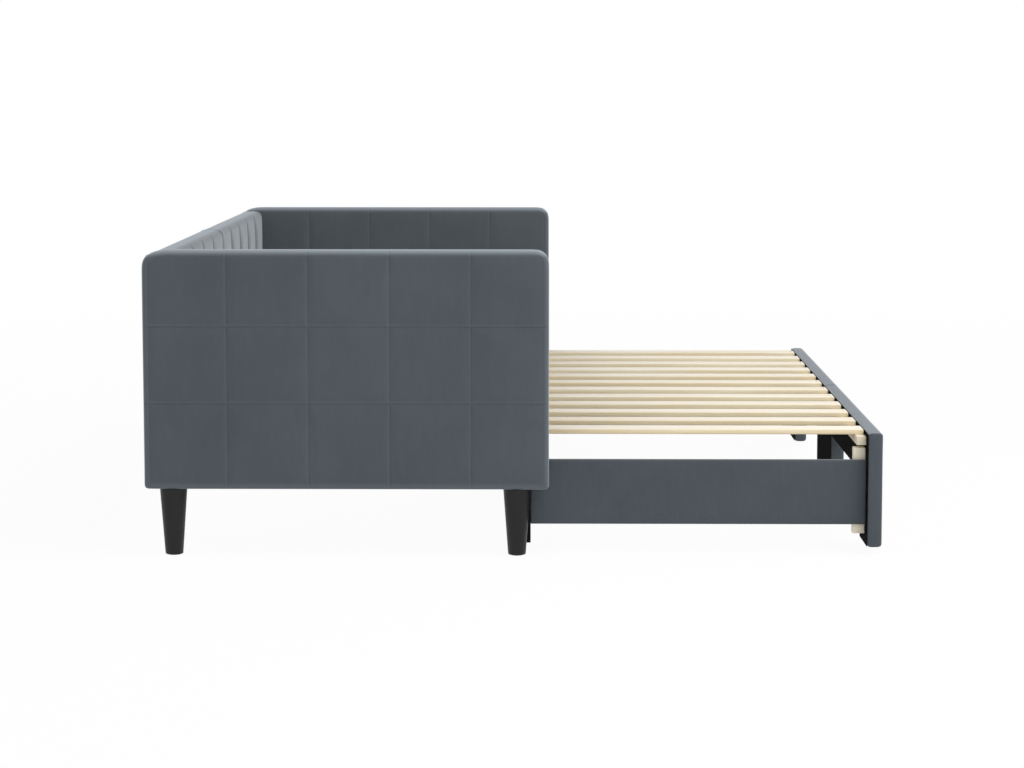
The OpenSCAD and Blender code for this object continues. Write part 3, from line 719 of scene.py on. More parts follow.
        # the small unevenness of hand-laid foam, away from seams and edges
        style = self.style
        for vertex in piece.data.vertices:
            if vertex.normal[self.faceAxis] ** 2 > 0.5:
                wave = noise.noise(vertex.co * style["waveScale"] + Vector((style["waveSeed"], 0, 0)))
                vertex.co += vertex.normal * wave * style["wave"]

    def surface(self, piece):
        self.tree = BVHTree.FromObject(piece, bpy.context.evaluated_depsgraph_get())

    def onFace(self, u, v, face):
        # the point of the finished cover over a place on one face
        way = 1 if face == "front" else -1
        start = self.place(u, v, way * (self.half + 50 * mm))
        towards = Vector((0, 0, 0))
        towards[self.faceAxis] = -way
        return self.tree.ray_cast(start, towards)[0]

    def seamPaths(self, face, step=8 * mm):
        # points along each seam of a face, on the finished cover
        inset = (self.style["border"] or self.style["roll"]["top"]) + 1 * mm

        def between(length):
            span = length - 2 * inset
            count = int(span / step)
            return [inset + span * k / count for k in range(count + 1)]

        paths = [[(seam, v) for v in between(self.height)] for seam in self.uSeams(face)]
        paths += [[(u, seam) for u in between(self.length)] for seam in self.style["vSeams"]]
        return [[self.onFace(u, v, face) for u, v in path] for path in paths]


# the fabric that the padding pumps up, and the number of frames for it
padding = {"frames": 20, "quality": 6, "mass": 0.25, "stretch": 25, "shear": 12, "bending": 1.5}


def nearly(place):
    return tuple(round(part, 5) for part in place)


def swell(panels, pieces, look):
    # pumps up the padding between the seams with Cloth, and keeps a capped part of the movement
    for panel, piece in zip(panels, pieces):
        group = piece.vertex_groups.new(name="pinned")
        weights = {nearly(co): weight for co, weight in panel.pins}
        for vertex in piece.data.vertices:
            weight = weights.get(nearly(vertex.co), 1.0)
            if weight > 0:
                group.add([vertex.index], weight, "REPLACE")
        cloth = piece.modifiers.new("padding", "CLOTH")
        settings = cloth.settings
        settings.quality = look["quality"]
        settings.mass = look["mass"]
        settings.tension_stiffness = settings.compression_stiffness = look["stretch"]
        settings.shear_stiffness = look["shear"]
        settings.bending_stiffness = look["bending"]
        settings.use_pressure = True
        settings.uniform_pressure_force = panel.style["pressure"]
        settings.effector_weights.gravity = 0
        settings.vertex_group_mass = "pinned"
        cloth.collision_settings.use_collision = False
        cloth.point_cache.frame_start, cloth.point_cache.frame_end = 1, look["frames"]
    for number in range(1, look["frames"] + 1):
        scene.frame_set(number)
    depsgraph = bpy.context.evaluated_depsgraph_get()
    for panel, piece in zip(panels, pieces):
        moved = [vertex.co.copy() for vertex in piece.evaluated_get(depsgraph).data.vertices]
        piece.modifiers.clear()
        cap, furthest = panel.style["cap"], 0.0
        for vertex, place in zip(piece.data.vertices, moved):
            step = place - vertex.co
            furthest = max(furthest, step.length)
            if step.length > cap:
                step *= cap / step.length
            vertex.co += step
        print("  ", piece.name, "swelled by", round(furthest / mm, 1), "mm, capped at", round(cap / mm, 1))
    scene.frame_set(1)


def refine(piece):
    finish = piece.modifiers.new("refine", "SUBSURF")
    finish.levels = finish.render_levels = 1
    made, coarse = finishedMesh(piece), piece.data
    piece.modifiers.clear()
    piece.data = made
    bpy.data.meshes.remove(coarse)
    made.shade_smooth()


# trees for what repeats: slats in a row, stitches along a seam, screws and bolts at their marks
def geometryTree(name, inputs):
    tree = bpy.data.node_groups.new(name, "GeometryNodeTree")
    tree.interface.new_socket("Geometry", in_out="INPUT", socket_type="NodeSocketGeometry")
    for label, (kind, value) in inputs.items():
        socket = tree.interface.new_socket(label, in_out="INPUT", socket_type="NodeSocket" + kind)
        if value is not None:
            socket.default_value = value
    tree.interface.new_socket("Geometry", in_out="OUTPUT", socket_type="NodeSocketGeometry")
    return tree, tree.nodes.new("NodeGroupInput").outputs, tree.nodes.new("NodeGroupOutput").inputs


def randomValue(tree, seed, low=-1.0, high=1.0):
    inputs = {"Min": low, "Max": high, "Seed": seed}
    return addNode(tree, "FunctionNodeRandomValue", inputs, data_type="FLOAT").outputs[1]


def markValue(tree, name, kind="FLOAT"):
    # what each marked point says under that name
    inputs = {"Name": name}
    return addNode(tree, "GeometryNodeInputNamedAttribute", inputs, data_type=kind).outputs[0]


def copiesOn(tree, points, shape, turn, **more):
    inputs = {"Points": points, "Instance": shape, "Rotation": turn, **more}
    return addNode(tree, "GeometryNodeInstanceOnPoints", inputs).outputs[0]


def closeTree(tree, made, material, target):
    # every tree ends in real geometry with its material on it
    real = addNode(tree, "GeometryNodeRealizeInstances", {"Geometry": made}).outputs[0]
    coloured = addNode(tree, "GeometryNodeSetMaterial", {"Geometry": real, "Material": material}).outputs[0]
    tree.links.new(coloured, target["Geometry"])
    return tree


def runTree(name, tree, source, values):
    # gives one mesh its tree, sets the tree's inputs and keeps the result as a plain mesh
    carrier = newPiece(name + "Source", source, smooth=False)
    modifier = carrier.modifiers.new(tree.name, "NODES")
    modifier.node_group = tree
    for item in tree.interface.items_tree:
        if item.item_type == "SOCKET" and item.in_out == "INPUT" and item.name in values:
            modifier[item.identifier] = values[item.name]
    made = finishedMesh(carrier)
    made.name = name
    carrier.modifiers.clear()
    bpy.data.objects.remove(carrier)
    return newPiece(name, made, smooth=False)


def slatRowTree():
    tree, given, target = geometryTree("slatRow", {
        "Count": ("Int", 12), "Pitch": ("Float", 0.164), "Skew": ("Float", 0.0006), "Seed": ("Int", 3),
        "Material": ("Material", None),
    })
    steps = mathNode(tree, "SUBTRACT", given["Count"], 1.0)
    start = mathNode(tree, "MULTIPLY", mathNode(tree, "MULTIPLY", steps, given["Pitch"]), -0.5)
    row = addNode(tree, "GeometryNodeMeshLine", {
        "Count": given["Count"], "Start Location": vector(tree, Y=start),
        "Offset": vector(tree, Y=given["Pitch"]),
    }).outputs[0]
    skew = mathNode(tree, "MULTIPLY", randomValue(tree, given["Seed"]), given["Skew"])
    slats = copiesOn(tree, row, given["Geometry"], vector(tree, Z=skew))
    tone = randomValue(tree, mathNode(tree, "ADD", given["Seed"], 5.0), 0.0)
    inputs = {"Geometry": slats, "Name": "tone", "Value": tone}
    marked = addNode(tree, "GeometryNodeStoreNamedAttribute", inputs, domain="INSTANCE").outputs[0]
    return closeTree(tree, marked, given["Material"], target)


def stitchRowTree():
    tree, given, target = geometryTree("stitchRow", {
        "Pitch": ("Float", 6 * mm), "Length": ("Float", 4.2 * mm), "Thickness": ("Float", 0.9 * mm),
        "Slant": ("Float", 0.12), "Seed": ("Int", 7), "Material": ("Material", None),
    })
    curve = addNode(tree, "GeometryNodeMeshToCurve", {"Mesh": given["Geometry"]}).outputs[0]
    spaced = {"Curve": curve, "Length": given["Pitch"]}
    places = addNode(tree, "GeometryNodeResampleCurve", spaced, mode="LENGTH").outputs[0]
    ball = addNode(tree, "GeometryNodeMeshUVSphere", {"Segments": 6, "Rings": 4, "Radius": 0.5}).outputs[0]
    size = vector(tree, X=given["Length"], Y=given["Thickness"], Z=given["Thickness"])
    stitch = addNode(tree, "GeometryNodeTransform", {"Geometry": ball, "Scale": size}).outputs[0]
    sideways = mathNode(tree, "MULTIPLY", randomValue(tree, given["Seed"]), given["Slant"])
    tangent = addNode(tree, "GeometryNodeInputTangent").outputs[0]
    slanted = addVectors(tree, tangent, vector(tree, X=sideways, Y=sideways, Z=sideways))
    aim = addNode(tree, "FunctionNodeAlignRotationToVector", {"Vector": slanted}, axis="X").outputs[0]
    stitches = copiesOn(tree, places, stitch, aim)
    smooth = addNode(tree, "GeometryNodeSetShadeSmooth", {"Geometry": stitches}).outputs[0]
    return closeTree(tree, smooth, given["Material"], target)


def fixingsTree():
    # a head and a shank at each marked place
    tree, given, target = geometryTree("fixings", {
        "Head": ("Object", None), "Shank Radius": ("Float", 2 * mm), "Material": ("Material", None),
    })
    aimed = {"Vector": markValue(tree, "aim", "FLOAT_VECTOR")}
    turn = addNode(tree, "FunctionNodeAlignRotationToVector", aimed, axis="Z").outputs[0]
    spun = {"Rotation": turn, "Rotate By": vector(tree, Z=markValue(tree, "spin"))}
    own = addNode(tree, "FunctionNodeRotateRotation", spun, rotation_space="LOCAL").outputs[0]
    head = addNode(tree, "GeometryNodeObjectInfo", {"Object": given["Head"]}).outputs["Geometry"]
    heads = copiesOn(tree, given["Geometry"], head, own)
    rod = addNode(tree, "GeometryNodeMeshCylinder", {
        "Vertices": 10, "Radius": given["Shank Radius"], "Depth": 1.0,
    }).outputs[0]
    rod = addNode(tree, "GeometryNodeTransform", {"Geometry": rod, "Translation": (0, 0, -0.5)}).outputs[0]
    long = vector(tree, X=1.0, Y=1.0, Z=markValue(tree, "reach"))
    rods = copiesOn(tree, given["Geometry"], rod, own, Scale=long)
    joined = addNode(tree, "GeometryNodeJoinGeometry", {"Geometry": heads})
    tree.links.new(rods, joined.inputs["Geometry"])
    return closeTree(tree, joined.outputs[0], given["Material"], target)


slatRow = slatRowTree()
stitchRow = stitchRowTree()
fixings = fixingsTree()


def pathMesh(name, paths):
    points, edges = [], []
    for path in paths:
        edges += [(len(points) + k, len(points) + k + 1) for k in range(len(path) - 1)]
        points += path
    mesh = bpy.data.meshes.new(name)
    mesh.from_pydata(points, edges, [])
    return mesh


# what every cover starts from; plain padding without seams
plainCover = {
    "inset": 0.0,                       # how far the faces start inside the frame's box
    "pressed": False,                   # whether it presses against the other half of the bed
    "startTopCorner": None,             # its own radius, size and flatness, where it isn't like the others
    "cutout": None,                     # first, last and top of an opening in the lower edge
    "uSeams": (),
    "backSeams": None,                  # upright seams of the back face, where they aren't the front's
    "vSeams": (),
    "seamFaces": (),
    "softFaces": ("front",),            # the faces whose padding may swell
    "seamDepth": 0.0,
    "seamWidth": 2 * mm,
    "pillowWidth": 10 * mm,             # how wide the soft part of a seam is
    "pillowShare": 0.5,                 # and its share of the depth
    "seamFade": 5 * mm,                 # how far inside the outline the seams are at full depth
    "seamOffsets": (0.0,),              # grid lines beside each seam
    "fold": 0.0,                        # height of the folded allowance beside a seam
    "border": None,                     # how far inside the outline a seam runs round the panel
    "nap": 0.0,                         # share of painted highlight on the faces, from 0 to 1
    "topPaintedSheen": 0.0,                      # and along the upper edge
    "flatBelow": 0.0,                   # up to this height the padding doesn't swell
    "pitch": 15 * mm,                   # widest cell of the grid
    "pressure": 3.0,
    "cap": 1.2 * mm,                    # how far the padding may swell
    "wave": 0.5 * mm,
    "waveScale": 8.0,
}

# arms: a grid of flat cells on both faces
armRoll = {"start": 13 * mm, "end": 11 * mm, "bottom": 6 * mm, "top": 13.5 * mm}
armCover = {
    **plainCover,
    "inset": 0.6 * mm,
    "roll": armRoll,
    "backRoll": armRoll,
    "corner": {"bottom": 10 * mm, "top": 32 * mm},
    "cornerSize": 34 * mm,
    "startTopCorner": (35 * mm, 37 * mm, 0.58),     # the rear upper corner is lower than it is long
    "frontColumn": 177 * mm,            # width of the column next to the front edge
    "columnPitch": 184.5 * mm,
    "innerPitch": 180 * mm,
    "columnSeams": 4,
    "rowPitch": 175 * mm,               # from the top down
    "rowSeams": 2,
    "seamFaces": ("front", "back"),
    "softFaces": ("front", "back"),
    "seamDepth": 2.0 * mm,
    "seamWidth": 1.5 * mm,
    "pillowWidth": 8 * mm,
    "pillowShare": 0.3,
    "seamFade": 9.5 * mm,
    "seamOffsets": (0.0, 1.3 * mm, 3.0 * mm, 4.8 * mm, 9 * mm, 16 * mm),
    "fold": 0.9 * mm,
    "foldUpright": 0.4,                 # how strong the fold is along upright seams
    "foldAway": 3.0 * mm,
    # painted highlight on the ridge of each seam fold
    "foldPaintedSheen": 0.11,
    "border": 13.5 * mm,
    "borderDepth": 1.6 * mm,
    "borderOffsets": (-1.5 * mm, 0.0, 1.5 * mm, 4 * mm),
    # painted highlight shares: on the faces, along the upper edge and along the sides
    "nap": 0.032,
    "topPaintedSheen": 1.0,
    "sidePaintedSheen": 0.225,
    "pitch": 17 * mm,
    "pressure": 4.0,
    "cap": 1.3 * mm,
    "waveScale": 9.0,
    "waveSeed": 4.0,
}


def seamsFromFrame(style, node):
    low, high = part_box(node)
    length, height = high.x - low.x, high.z - low.z
    for key, pitch in (("uSeams", style["columnPitch"]), ("backSeams", style["innerPitch"])):
        style[key] = [length - style["frontColumn"] - k * pitch for k in range(style["columnSeams"])]
    style["vSeams"] = [height - (k + 1) * style["rowPitch"] for k in range(style["rowSeams"])]


seamsFromFrame(armCover, "arm_right_cover")
armPanel = Panel("arm_right_cover", "y", armCover)
armRight = armPanel.build("armRight")
print("arm cover:", len(armRight.data.vertices), "vertices before it is padded")


# backrest: two halves with upright channels on their front
backCover = {
    **plainCover,
    "pressed": True,
    "roll": {"start": 9 * mm, "end": 9 * mm, "bottom": 5 * mm, "top": 21 * mm},
    "backRoll": {"start": 6 * mm, "end": 6 * mm, "bottom": 4 * mm, "top": 18 * mm},
    "corner": {"bottom": 3 * mm, "top": 7 * mm},
    "cornerSize": 24 * mm,
    "channels": 5,
    "seamFaces": ("front",),
    "seamDepth": 6.5 * mm,
    "pillowWidth": 16 * mm,
    "pillowShare": 0.45,
    "seamFade": 22 * mm,                # the seams end on the rounded upper edge
    "seamOffsets": (0.0, 1.3 * mm, 3.2 * mm, 7 * mm, 15 * mm, 28 * mm),
    # painted sheen over the whole front of the backrest
    "nap": 0.22,
    "flatBelow": 240 * mm,              # stays flat beside the slats
    "pitch": 17 * mm,
    "pressure": 4.0,
    "cap": 4 * mm,
    "wave": 0.6 * mm,
    "waveSeed": 9.0,
}
backPanel = Panel("back_right_cover", "x", backCover)
channelWidth = backPanel.length / backCover["channels"]
backCover["uSeams"] = [channelWidth * k for k in range(1, backCover["channels"])]
backRight = backPanel.build("backRight")
print("backrest cover:", len(backRight.data.vertices), "vertices before it is padded")


# rail, front panel and end boards
railCover = {
    **plainCover,
    "roll": {"start": 6 * mm, "end": 6 * mm, "bottom": 12 * mm, "top": 12 * mm},
    "backRoll": {"start": 4 * mm, "end": 4 * mm, "bottom": 5 * mm, "top": 5 * mm},
    "corner": {"bottom": 2 * mm, "top": 2 * mm},
    "cornerSize": 14 * mm,
    "waveSeed": 12.0,
}
railPanel = Panel("rail_cover", "x", railCover)
rail = railPanel.build("rail")

panelCover = {
    **plainCover,
    "pressed": True,
    "roll": {"start": 5 * mm, "end": 9 * mm, "bottom": 9 * mm, "top": 8 * mm, "cutout": 8 * mm},
    "backRoll": {"start": 4 * mm, "end": 5 * mm, "bottom": 8 * mm, "top": 7 * mm, "cutout": 5 * mm},
    "corner": {"bottom": 5 * mm, "top": 5 * mm},
    "cornerSize": 13 * mm,
    "waveSeed": 21.0,
}


def cutoutOf(node, low, high):
    # the opening between the feet of a front panel, read from the frame's own corners
    inside = [v.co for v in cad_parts[node].data.vertices]
    top = min(co.z for co in inside if co.z > low.z + 60 * mm and abs(co.x - high.x) < 0.1 * mm)
    edges = sorted({round(co.y, 5) for co in inside if abs(co.z - top) < 0.1 * mm})
    return edges[0] - low.y, edges[-1] - low.y, top - low.z


frontPanel = Panel("trundle_front_right_cover", "x", panelCover)
panelCover["cutout"] = cutoutOf("trundle_front_right_cover", frontPanel.low, frontPanel.high)
frontRight = frontPanel.build("frontRight")

endCover = {
    **plainCover,
    "roll": {"start": 3 * mm, "end": 3 * mm, "bottom": 5 * mm, "top": 5 * mm},
    "backRoll": {"start": 3 * mm, "end": 3 * mm, "bottom": 4 * mm, "top": 4 * mm},
    "corner": {"bottom": 2 * mm, "top": 2 * mm},
    "cornerSize": 8 * mm,
    "cap": 0.8 * mm,
    "wave": 0.6 * mm,
    "waveScale": 6.0,
    "waveSeed": 31.0,
}
endPanel = Panel("trundle_end_right_cover", "y", endCover)
endRight = endPanel.build("endRight")
print("plain covers:", [len(piece.data.vertices) for piece in (rail, frontRight, endRight)], "vertices")

panels = [armPanel, backPanel, railPanel, frontPanel, endPanel]
covers = [armRight, backRight, rail, frontRight, endRight]
swell(panels, covers, padding)
for panel, cover in zip(panels, covers):
    panel.uneven(cover)
    refine(cover)
    panel.surface(cover)
print("padded covers:", sum(len(cover.data.polygons) for cover in covers), "faces")

armStitches = {
    "Pitch": 6 * mm, "Length": 4.3 * mm, "Thickness": 0.9 * mm, "Slant": 0.08, "Seed": 7, "Material": thread,
}
channelStitches = {**armStitches, "Pitch": 7 * mm, "Length": 5 * mm, "Seed": 11}
armPaths = pathMesh("armPaths", armPanel.seamPaths("front") + armPanel.seamPaths("back"))
armSeams = runTree("armSeamsRight", stitchRow, armPaths, armStitches)
backPaths = pathMesh("backPaths", backPanel.seamPaths("front"))
backSeams = runTree("backSeamsRight", stitchRow, backPaths, channelStitches)
print("stitches:", len(armSeams.data.polygons) + len(backSeams.data.polygons), "faces")

armLeft, armSeamsLeft = mirrored(armRight, "armLeft"), mirrored(armSeams, "armSeamsLeft")
backLeft, backSeamsLeft = mirrored(backRight, "backLeft"), mirrored(backSeams, "backSeamsLeft")
frontLeft, endLeft = mirrored(frontRight, "frontLeft"), mirrored(endRight, "endLeft")
for piece, body, node in (
    (armLeft, "daybed", "arm_left_cover"), (armRight, "daybed", "arm_right_cover"),
    (backLeft, "daybed", "back_left_cover"), (backRight, "daybed", "back_right_cover"),
    (rail, "daybed", "rail_cover"),
    (frontLeft, "trundle", "trundle_front_left_cover"), (frontRight, "trundle", "trundle_front_right_cover"),
    (endLeft, "trundle", "trundle_end_left_cover"), (endRight, "trundle", "trundle_end_right_cover"),
):
    settle(piece, body, [node])
for piece in (armSeams, armSeamsLeft, backSeams, backSeamsLeft):
    settle(piece, "daybed")


# slats, ledges and posts, with eased edges: the edge's radius and the steps across it
woodEdges = {"slat": (2 * mm, 3), "ledge": (1.5 * mm, 2), "post": (2 * mm, 2)}
slatFit = {"sink": 0.15 * mm, "skew": 0.0004}       # how far the tops lie under the frame's, and the turn


def roundedBlock(name, low, high, edge, material):
    radius, steps = edge

    def draw(body):
        bmesh.ops.create_cube(body, size=1.0)
        for vertex in body.verts:
            vertex.co = Vector([low[k] if vertex.co[k] < 0 else high[k] for k in range(3)])
        bmesh.ops.bevel(body, geom=body.edges[:], offset=radius, segments=steps, profile=0.5, affect="EDGES")

    return newPiece(name, meshFrom(name, draw), material)


def joinedBlocks(name, node, edge, material):
    # one rounded block for each solid of a frame node, as one piece
    body = bmesh.new()
    for low, high, _ in islandBoxes(node):
        part = roundedBlock(name + "Part", low, high, edge, material)
        body.from_mesh(part.data)
        bpy.data.objects.remove(part)
    mesh = bpy.data.meshes.new(name)
    body.to_mesh(mesh)
    body.free()
    return newPiece(name, mesh, material)


def slats(name, nodes, seed):
    # one slat blank from the frame's first slat, repeated by the slat row tree
    low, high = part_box(nodes[0])
    islands = islandBoxes(nodes[0])
    width = islands[0][1].y - islands[0][0].y
    count = max(len(nodes), len(islands))
    outer = max(abs(low.y), abs(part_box(nodes[-1])[1].y)) - width / 2
    start, end = Vector((low.x, -width / 2, low.z)), Vector((high.x, width / 2, high.z - slatFit["sink"]))
    blank = roundedBlock(name + "Blank", start, end, woodEdges["slat"], slatPine)
    row = runTree(name, slatRow, blank.data.copy(), {
        "Count": count, "Pitch": 2 * outer / (count - 1), "Skew": slatFit["skew"], "Seed": seed,
        "Material": slatPine,
    })
    bpy.data.objects.remove(blank)
    return row


trundleSlatNodes = [f"trundle_slat_{number}" for number in range(1, 13)]
bedSlats = slats("bedSlats", ["bed_slats"], 3)
trundleSlats = slats("trundleSlats", trundleSlatNodes, 17)
settle(bedSlats, "daybed", ["bed_slats"])
settle(trundleSlats, "trundle", trundleSlatNodes)
for body, start in (("daybed", "bed"), ("trundle", "trundle")):
    for place in ("front", "back"):
        node = f"{start}_ledge_{place}"
        ledge = roundedBlock(pieceName(node), *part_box(node), woodEdges["ledge"], ledgePine)
        settle(ledge, body, [node])
for name, node, body in (
    ("cornerPosts", "trundle_corner_posts", "trundle"), ("legBlocks", "leg_blocks", "daybed"),
):
    settle(joinedBlocks(name, node, woodEdges["post"], paintedLightPostPine), body, [node])
print("wood:", len(bedSlats.data.polygons) + len(trundleSlats.data.polygons), "faces in the slats")


# legs and wheels, turned
def lathe(name, profile, centre, material, axis, segments):
    # turns (radius, height) points round an axis through the centre; the ends close at the axis
    def draw(body):
        rings = []
        for radius, height in profile:
            ring = []
            for k in range(1 if radius <= 0 else segments):
                angle = 2 * math.pi * k / segments
                a, b = radius * math.cos(angle), radius * math.sin(angle)
                offset = Vector((a, b, height)) if axis == "z" else Vector((a, height, b))
                ring.append(body.verts.new(centre + offset))
            rings.append(ring)
        for low, high in zip(rings, rings[1:]):
            for k in range(segments):
                n = (k + 1) % segments
                corners = [low[k % len(low)], low[n % len(low)], high[n % len(high)], high[k % len(high)]]
                unique = list(dict.fromkeys(corners))
                if len(unique) > 2:
                    body.faces.new(unique)

    return newPiece(name, meshFrom(name, draw), material)


def rounded(points, corner, radius, steps):
    # replaces one profile point by an arc that is tangent to both neighbours
    before, here, after = (Vector(points[corner + k]) for k in (-1, 0, 1))
    start = here + (before - here).normalized() * radius
    end = here + (after - here).normalized() * radius
    arc = []
    for step in range(steps + 1):
        t = step / steps
        arc.append(tuple(start * (1 - t) ** 2 + here * 2 * t * (1 - t) + end * t ** 2))
    return points[:corner] + arc + points[corner + 1:]


legShape = {
    "footRound": (3 * mm, 5),           # radius of the lower edge and the steps across it
    "topRound": (0.8 * mm, 3),
    "footInset": 0.3 * mm,
    "glideRadius": 14 * mm,
    "glideHeight": 1.2 * mm,
    "glideFlare": 0.6 * mm,
    "segments": 56,
}


def leg(node, shape):
    low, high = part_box(node)
    corners = [v.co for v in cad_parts[node].data.vertices]
    centre = Vector(((low.x + high.x) / 2, (low.y + high.y) / 2, low.z))
    height, top = high.z - low.z, (high.x - low.x) / 2
    foot = max((co.xy - centre.xy).length for co in corners if co.z - low.z < 3 * mm)
    glide, step = shape["glideRadius"], shape["glideHeight"]
    points = [
        (0, 0), (glide, 0), (glide + shape["glideFlare"], step), (foot - shape["footInset"], step),
        (top, height), (0, height),
    ]
    points = rounded(points, 4, *shape["topRound"])
    points = rounded(points, 3, *shape["footRound"])
    return lathe(pieceName(node), points, centre, legPlastic, "z", shape["segments"])


wheelShape = {
    "tyreRound": 1.6 * mm,
    "tyreCrown": 0.05 * mm,
    "groove": 0.7 * mm,
    "grooveWidth": 2.4 * mm,
    "rim": 2.2 * mm,                    # from the tread in to the sunk disc
    "rimEdge": 0.2 * mm,
    "hubRadius": 6.5 * mm,
    "hubEdge": (0.6 * mm, 0.3 * mm),
    "discSink": 0.8 * mm,
    "gap": 0.05 * mm,                   # what the hub leaves free at each side
    "segments": 40,
}


def wheel(node, shape):
    # a rolled tyre with a middle groove, a sunk disc and a hub round the pin
    low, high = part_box(node)
    centre = (low + high) / 2
    bore = min((v.co.xz - centre.xz).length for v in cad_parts[node].data.vertices)
    radius, half = (high.z - low.z) / 2, (high.y - low.y) / 2 - shape["gap"]
    hub, disc, tyre = shape["hubRadius"], half - shape["discSink"], shape["tyreRound"]
    rim, groove, width = radius - shape["rim"], shape["groove"], shape["grooveWidth"] / 2
    edge, (inwards, down) = shape["rimEdge"], shape["hubEdge"]
    side = [
        (bore, half), (hub - inwards, half), (hub, half - down), (hub, disc), (rim, disc),
        (rim + edge, half - edge), (radius - tyre, half - shape["tyreCrown"]), (radius, half - tyre),
        (radius, width + groove), (radius - groove, width),
    ]
    profile = side + [(r, -h) for r, h in reversed(side)] + [side[0]]
    return lathe(pieceName(node), profile, centre, wheelPlastic, "y", shape["segments"])


for place in ("front", "back"):
    for side in ("left", "right"):
        node = f"leg_{place}_{side}"
        settle(leg(node, legShape), "daybed", [node])
for place in ("front", "back"):
    for side in ("left", "middle", "right"):
        node = f"wheel_{place}_{side}"
        settle(wheel(node, wheelShape), node, [node])
print("legs and wheels: 10")


# screws and bolts
screwShape = {
    "radius": 3.5 * mm, "height": 2 * mm, "bevel": 0.25 * mm, "shank": 2 * mm,
    "recess": 1.9 * mm, "depth": 0.9 * mm, "cross": True,
}
boltShape = {
    "radius": 7 * mm, "height": 4 * mm, "bevel": 0.9 * mm, "shank": 4 * mm,
    "recess": 2.9 * mm, "depth": 2.2 * mm, "cross": False,
}


def fixingHead(name, shape):
    # a turned head with a cross or a hexagon sunk in its top; its top face is at zero height
    radius, height, recess, bevel = shape["radius"], shape["height"], shape["recess"], shape["bevel"]
    if shape["cross"]:
        wide, thin = recess, recess * 0.24
        outline = [
            (wide, thin), (thin, thin), (thin, wide), (-thin, wide), (-thin, thin), (-wide, thin),
            (-wide, -thin), (-thin, -thin), (-thin, -wide), (thin, -wide), (thin, -thin), (wide, -thin),
        ]
    else:
        reaches = [recess, recess * math.cos(math.pi / 6)] * 6
        turns = [math.pi * k / 6 for k in range(12)]
        outline = [(reach * math.cos(turn), reach * math.sin(turn)) for reach, turn in zip(reaches, turns)]
    angles = [math.atan2(y, x) for x, y in outline]

    def draw(body):
        def ring(size, z):
            return [body.verts.new((size * math.cos(a), size * math.sin(a), z)) for a in angles]

        narrow = 0.85                   # the recess is smaller at its floor
        floor = [body.verts.new((x * narrow, y * narrow, -shape["depth"])) for x, y in outline]
        lip = [body.verts.new((x, y, 0)) for x, y in outline]
        rim, edge, base = ring(radius - bevel, 0), ring(radius, -bevel), ring(radius, -height)
        middle = body.verts.new((0, 0, -shape["depth"] * 1.3))
        under = body.verts.new((0, 0, -height))
        for k in range(len(outline)):
            n = (k + 1) % len(outline)
            for inner, outer in ((floor, lip), (lip, rim), (rim, edge), (edge, base)):
                body.faces.new((inner[k], inner[n], outer[n], outer[k]))
            body.faces.new((middle, floor[n], floor[k]))
            body.faces.new((under, base[k], base[n]))

    return newPiece(name, meshFrom(name, draw), smooth=False)


def fixingMarks(name, node, proud=0.1 * mm):
    # one point for each screw or bolt of a frame node: the head's place, its aim and the shank's length
    tops, aims, reaches, spins = [], [], [], []
    for number, (low, high, points) in enumerate(islandBoxes(node)):
        size = high - low
        axis = max(range(3), key=lambda k: size[k])
        across = 0 if axis else 1
        centre = (low + high) / 2

        def girth(end):
            near = [p for p in points if abs(p[axis] - end) < 0.1 * mm]
            return max((abs(p[across] - centre[across]) for p in near), default=0)

        way = 1 if girth(high[axis]) > girth(low[axis]) else -1
        top, aim = centre.copy(), Vector((0, 0, 0))
        top[axis] = (high if way > 0 else low)[axis] + way * proud
        aim[axis] = way
        tops.append(top)
        aims.extend(aim)
        reaches.append(size[axis])
        spins.append(number * 0.7)
    mesh = bpy.data.meshes.new(name)
    mesh.from_pydata(tops, [], [])
    mesh.attributes.new("aim", "FLOAT_VECTOR", "POINT").data.foreach_set("vector", aims)
    mesh.attributes.new("reach", "FLOAT", "POINT").data.foreach_set("value", reaches)
    mesh.attributes.new("spin", "FLOAT", "POINT").data.foreach_set("value", spins)
    return mesh


for shape, material, slot, nodes in (
    (screwShape, yellowSteel, "screw_steel", {"bed_screws": "daybed", "trundle_screws": "trundle"}),
    (boltShape, zincSteel, "steel", {"bed_bolts": "daybed"}),
):
    head = fixingHead(slot + "Head", shape)
    values = {"Head": head, "Shank Radius": shape["shank"], "Material": material}
    for node, body in nodes.items():
        name = pieceName(node)
        settle(runTree(name, fixings, fixingMarks(name, node), values), body, [node])
    bpy.data.objects.remove(head)
print("screws and bolts done")


# finish of the frame's own pieces that stay as they are
finishes = {
    chipboard: [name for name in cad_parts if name.endswith("_board") and "trundle_back" not in name],
    blackBoard: ["trundle_back_left_board", "trundle_back_right_board"],
    lining: ["trundle_front_lining"],
    zincSteel: ["corner_brackets", "back_joining_plates", "leg_plates", "leg_studs", "castor_axles"],
    blackSteel: ["castor_brackets", "trundle_joining_plates"],
}
for material, names in finishes.items():
    for name in names:
        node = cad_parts[name]
        if not node.material_slots:
            node.data.materials.append(material)
        for place in node.material_slots:
            place.material = material


# room, lamps and camera
white = (1.0, 1.0, 1.0)
studio = {
    "ambient": 0.62,                    # strength of the white surroundings as light
    "key": {"place": (2.5, -1.9, 4.4), "size": 3.4, "power": 140.0},
    "fill": {"place": (1.2, -6.0, 2.8), "size": 2.4, "power": 22.0},
    "floor": (0.9, 0.9, 0.9),
    "floorReach": 60.0,
    "floorShow": 0.95,                  # how much of the floor's look near the bed is plain white
    "floorFade": (2.0, 7.0),            # where the rest turns white too
}
cameraSetup = {
    "place": (0.0753, -7.3238, 1.0855), "pitchDown": 6.268, "turn": 0.723, "lens": 98.08, "sensor": 36.0,
    "clipEnd": 200.0,
}


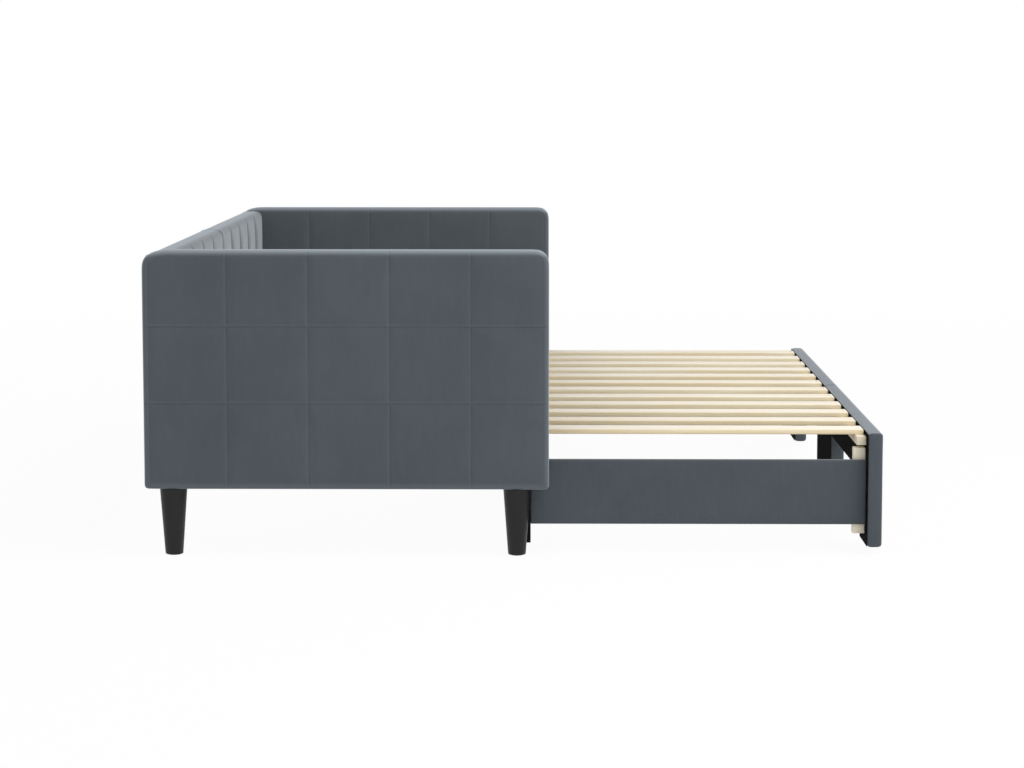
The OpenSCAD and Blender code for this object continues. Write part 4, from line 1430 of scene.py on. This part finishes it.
def seenDirectly(tree):
    # 1 on rays from the camera, in reflections and through glass
    path = addNode(tree, "ShaderNodeLightPath").outputs
    both = mathNode(tree, "MAXIMUM", path["Is Camera Ray"], path["Is Glossy Ray"])
    return mathNode(tree, "MAXIMUM", both, path["Is Transmission Ray"])


def whiteWorld(look):
    world = bpy.data.worlds.new("whiteRoom")
    world.use_nodes = True
    tree = world.node_tree
    tree.nodes.clear()
    light = addNode(tree, "ShaderNodeBackground", {"Color": white, "Strength": look["ambient"]}).outputs[0]
    shown = addNode(tree, "ShaderNodeBackground", {"Color": white, "Strength": 1.0}).outputs[0]
    mixed = addNode(tree, "ShaderNodeMixShader", {0: seenDirectly(tree), 1: light, 2: shown}).outputs[0]
    addNode(tree, "ShaderNodeOutputWorld", {"Surface": mixed})
    scene.world = world


def studioFloor(look):
    material = bpy.data.materials.new("floor")
    material.use_nodes = True
    tree = material.node_tree
    tree.nodes.clear()
    matt = addNode(tree, "ShaderNodeBsdfDiffuse", {"Color": look["floor"]}).outputs[0]
    shown = addNode(tree, "ShaderNodeEmission", {"Color": white, "Strength": 1.0}).outputs[0]
    where = {0: objectPattern(tree)}
    away = addNode(tree, "ShaderNodeVectorMath", where, operation="LENGTH").outputs["Value"]
    show = stretch(tree, away, look["floorFade"], (look["floorShow"], 1.0))
    amount = mathNode(tree, "MULTIPLY", seenDirectly(tree), show)
    mixed = addNode(tree, "ShaderNodeMixShader", {0: amount, 1: matt, 2: shown}).outputs[0]
    addNode(tree, "ShaderNodeOutputMaterial", {"Surface": mixed})
    reach = look["floorReach"]
    corners = [(-reach, -reach, 0), (reach, -reach, 0), (reach, reach, 0), (-reach, reach, 0)]
    mesh = bpy.data.meshes.new("floor")
    mesh.from_pydata(corners, [], [(0, 1, 2, 3)])
    newPiece("floor", mesh, material, smooth=False)


def softBox(name, look, aim):
    lamp = bpy.data.lights.new(name, "AREA")
    lamp.size, lamp.energy = look["size"], look["power"]
    box = bpy.data.objects.new(name, lamp)
    scene.collection.objects.link(box)
    box.location = look["place"]
    box.rotation_euler = (Vector(aim) - box.location).to_track_quat("-Z", "Y").to_euler()


def studioCamera(look):
    camera = bpy.data.objects.new("camera", bpy.data.cameras.new("camera"))
    scene.collection.objects.link(camera)
    camera.location = look["place"]
    camera.rotation_euler = (math.radians(90 - look["pitchDown"]), 0, math.radians(look["turn"]))
    camera.data.lens, camera.data.sensor_width = look["lens"], look["sensor"]
    camera.data.clip_end = look["clipEnd"]
    scene.camera = camera


whiteWorld(studio)
studioFloor(studio)
centre = (frameBounds[0] + frameBounds[1]) / 2
softBox("key", studio["key"], centre)
softBox("fill", studio["fill"], centre)
studioCamera(cameraSetup)
scene.view_settings.view_transform = "Standard"
print("studio ready")
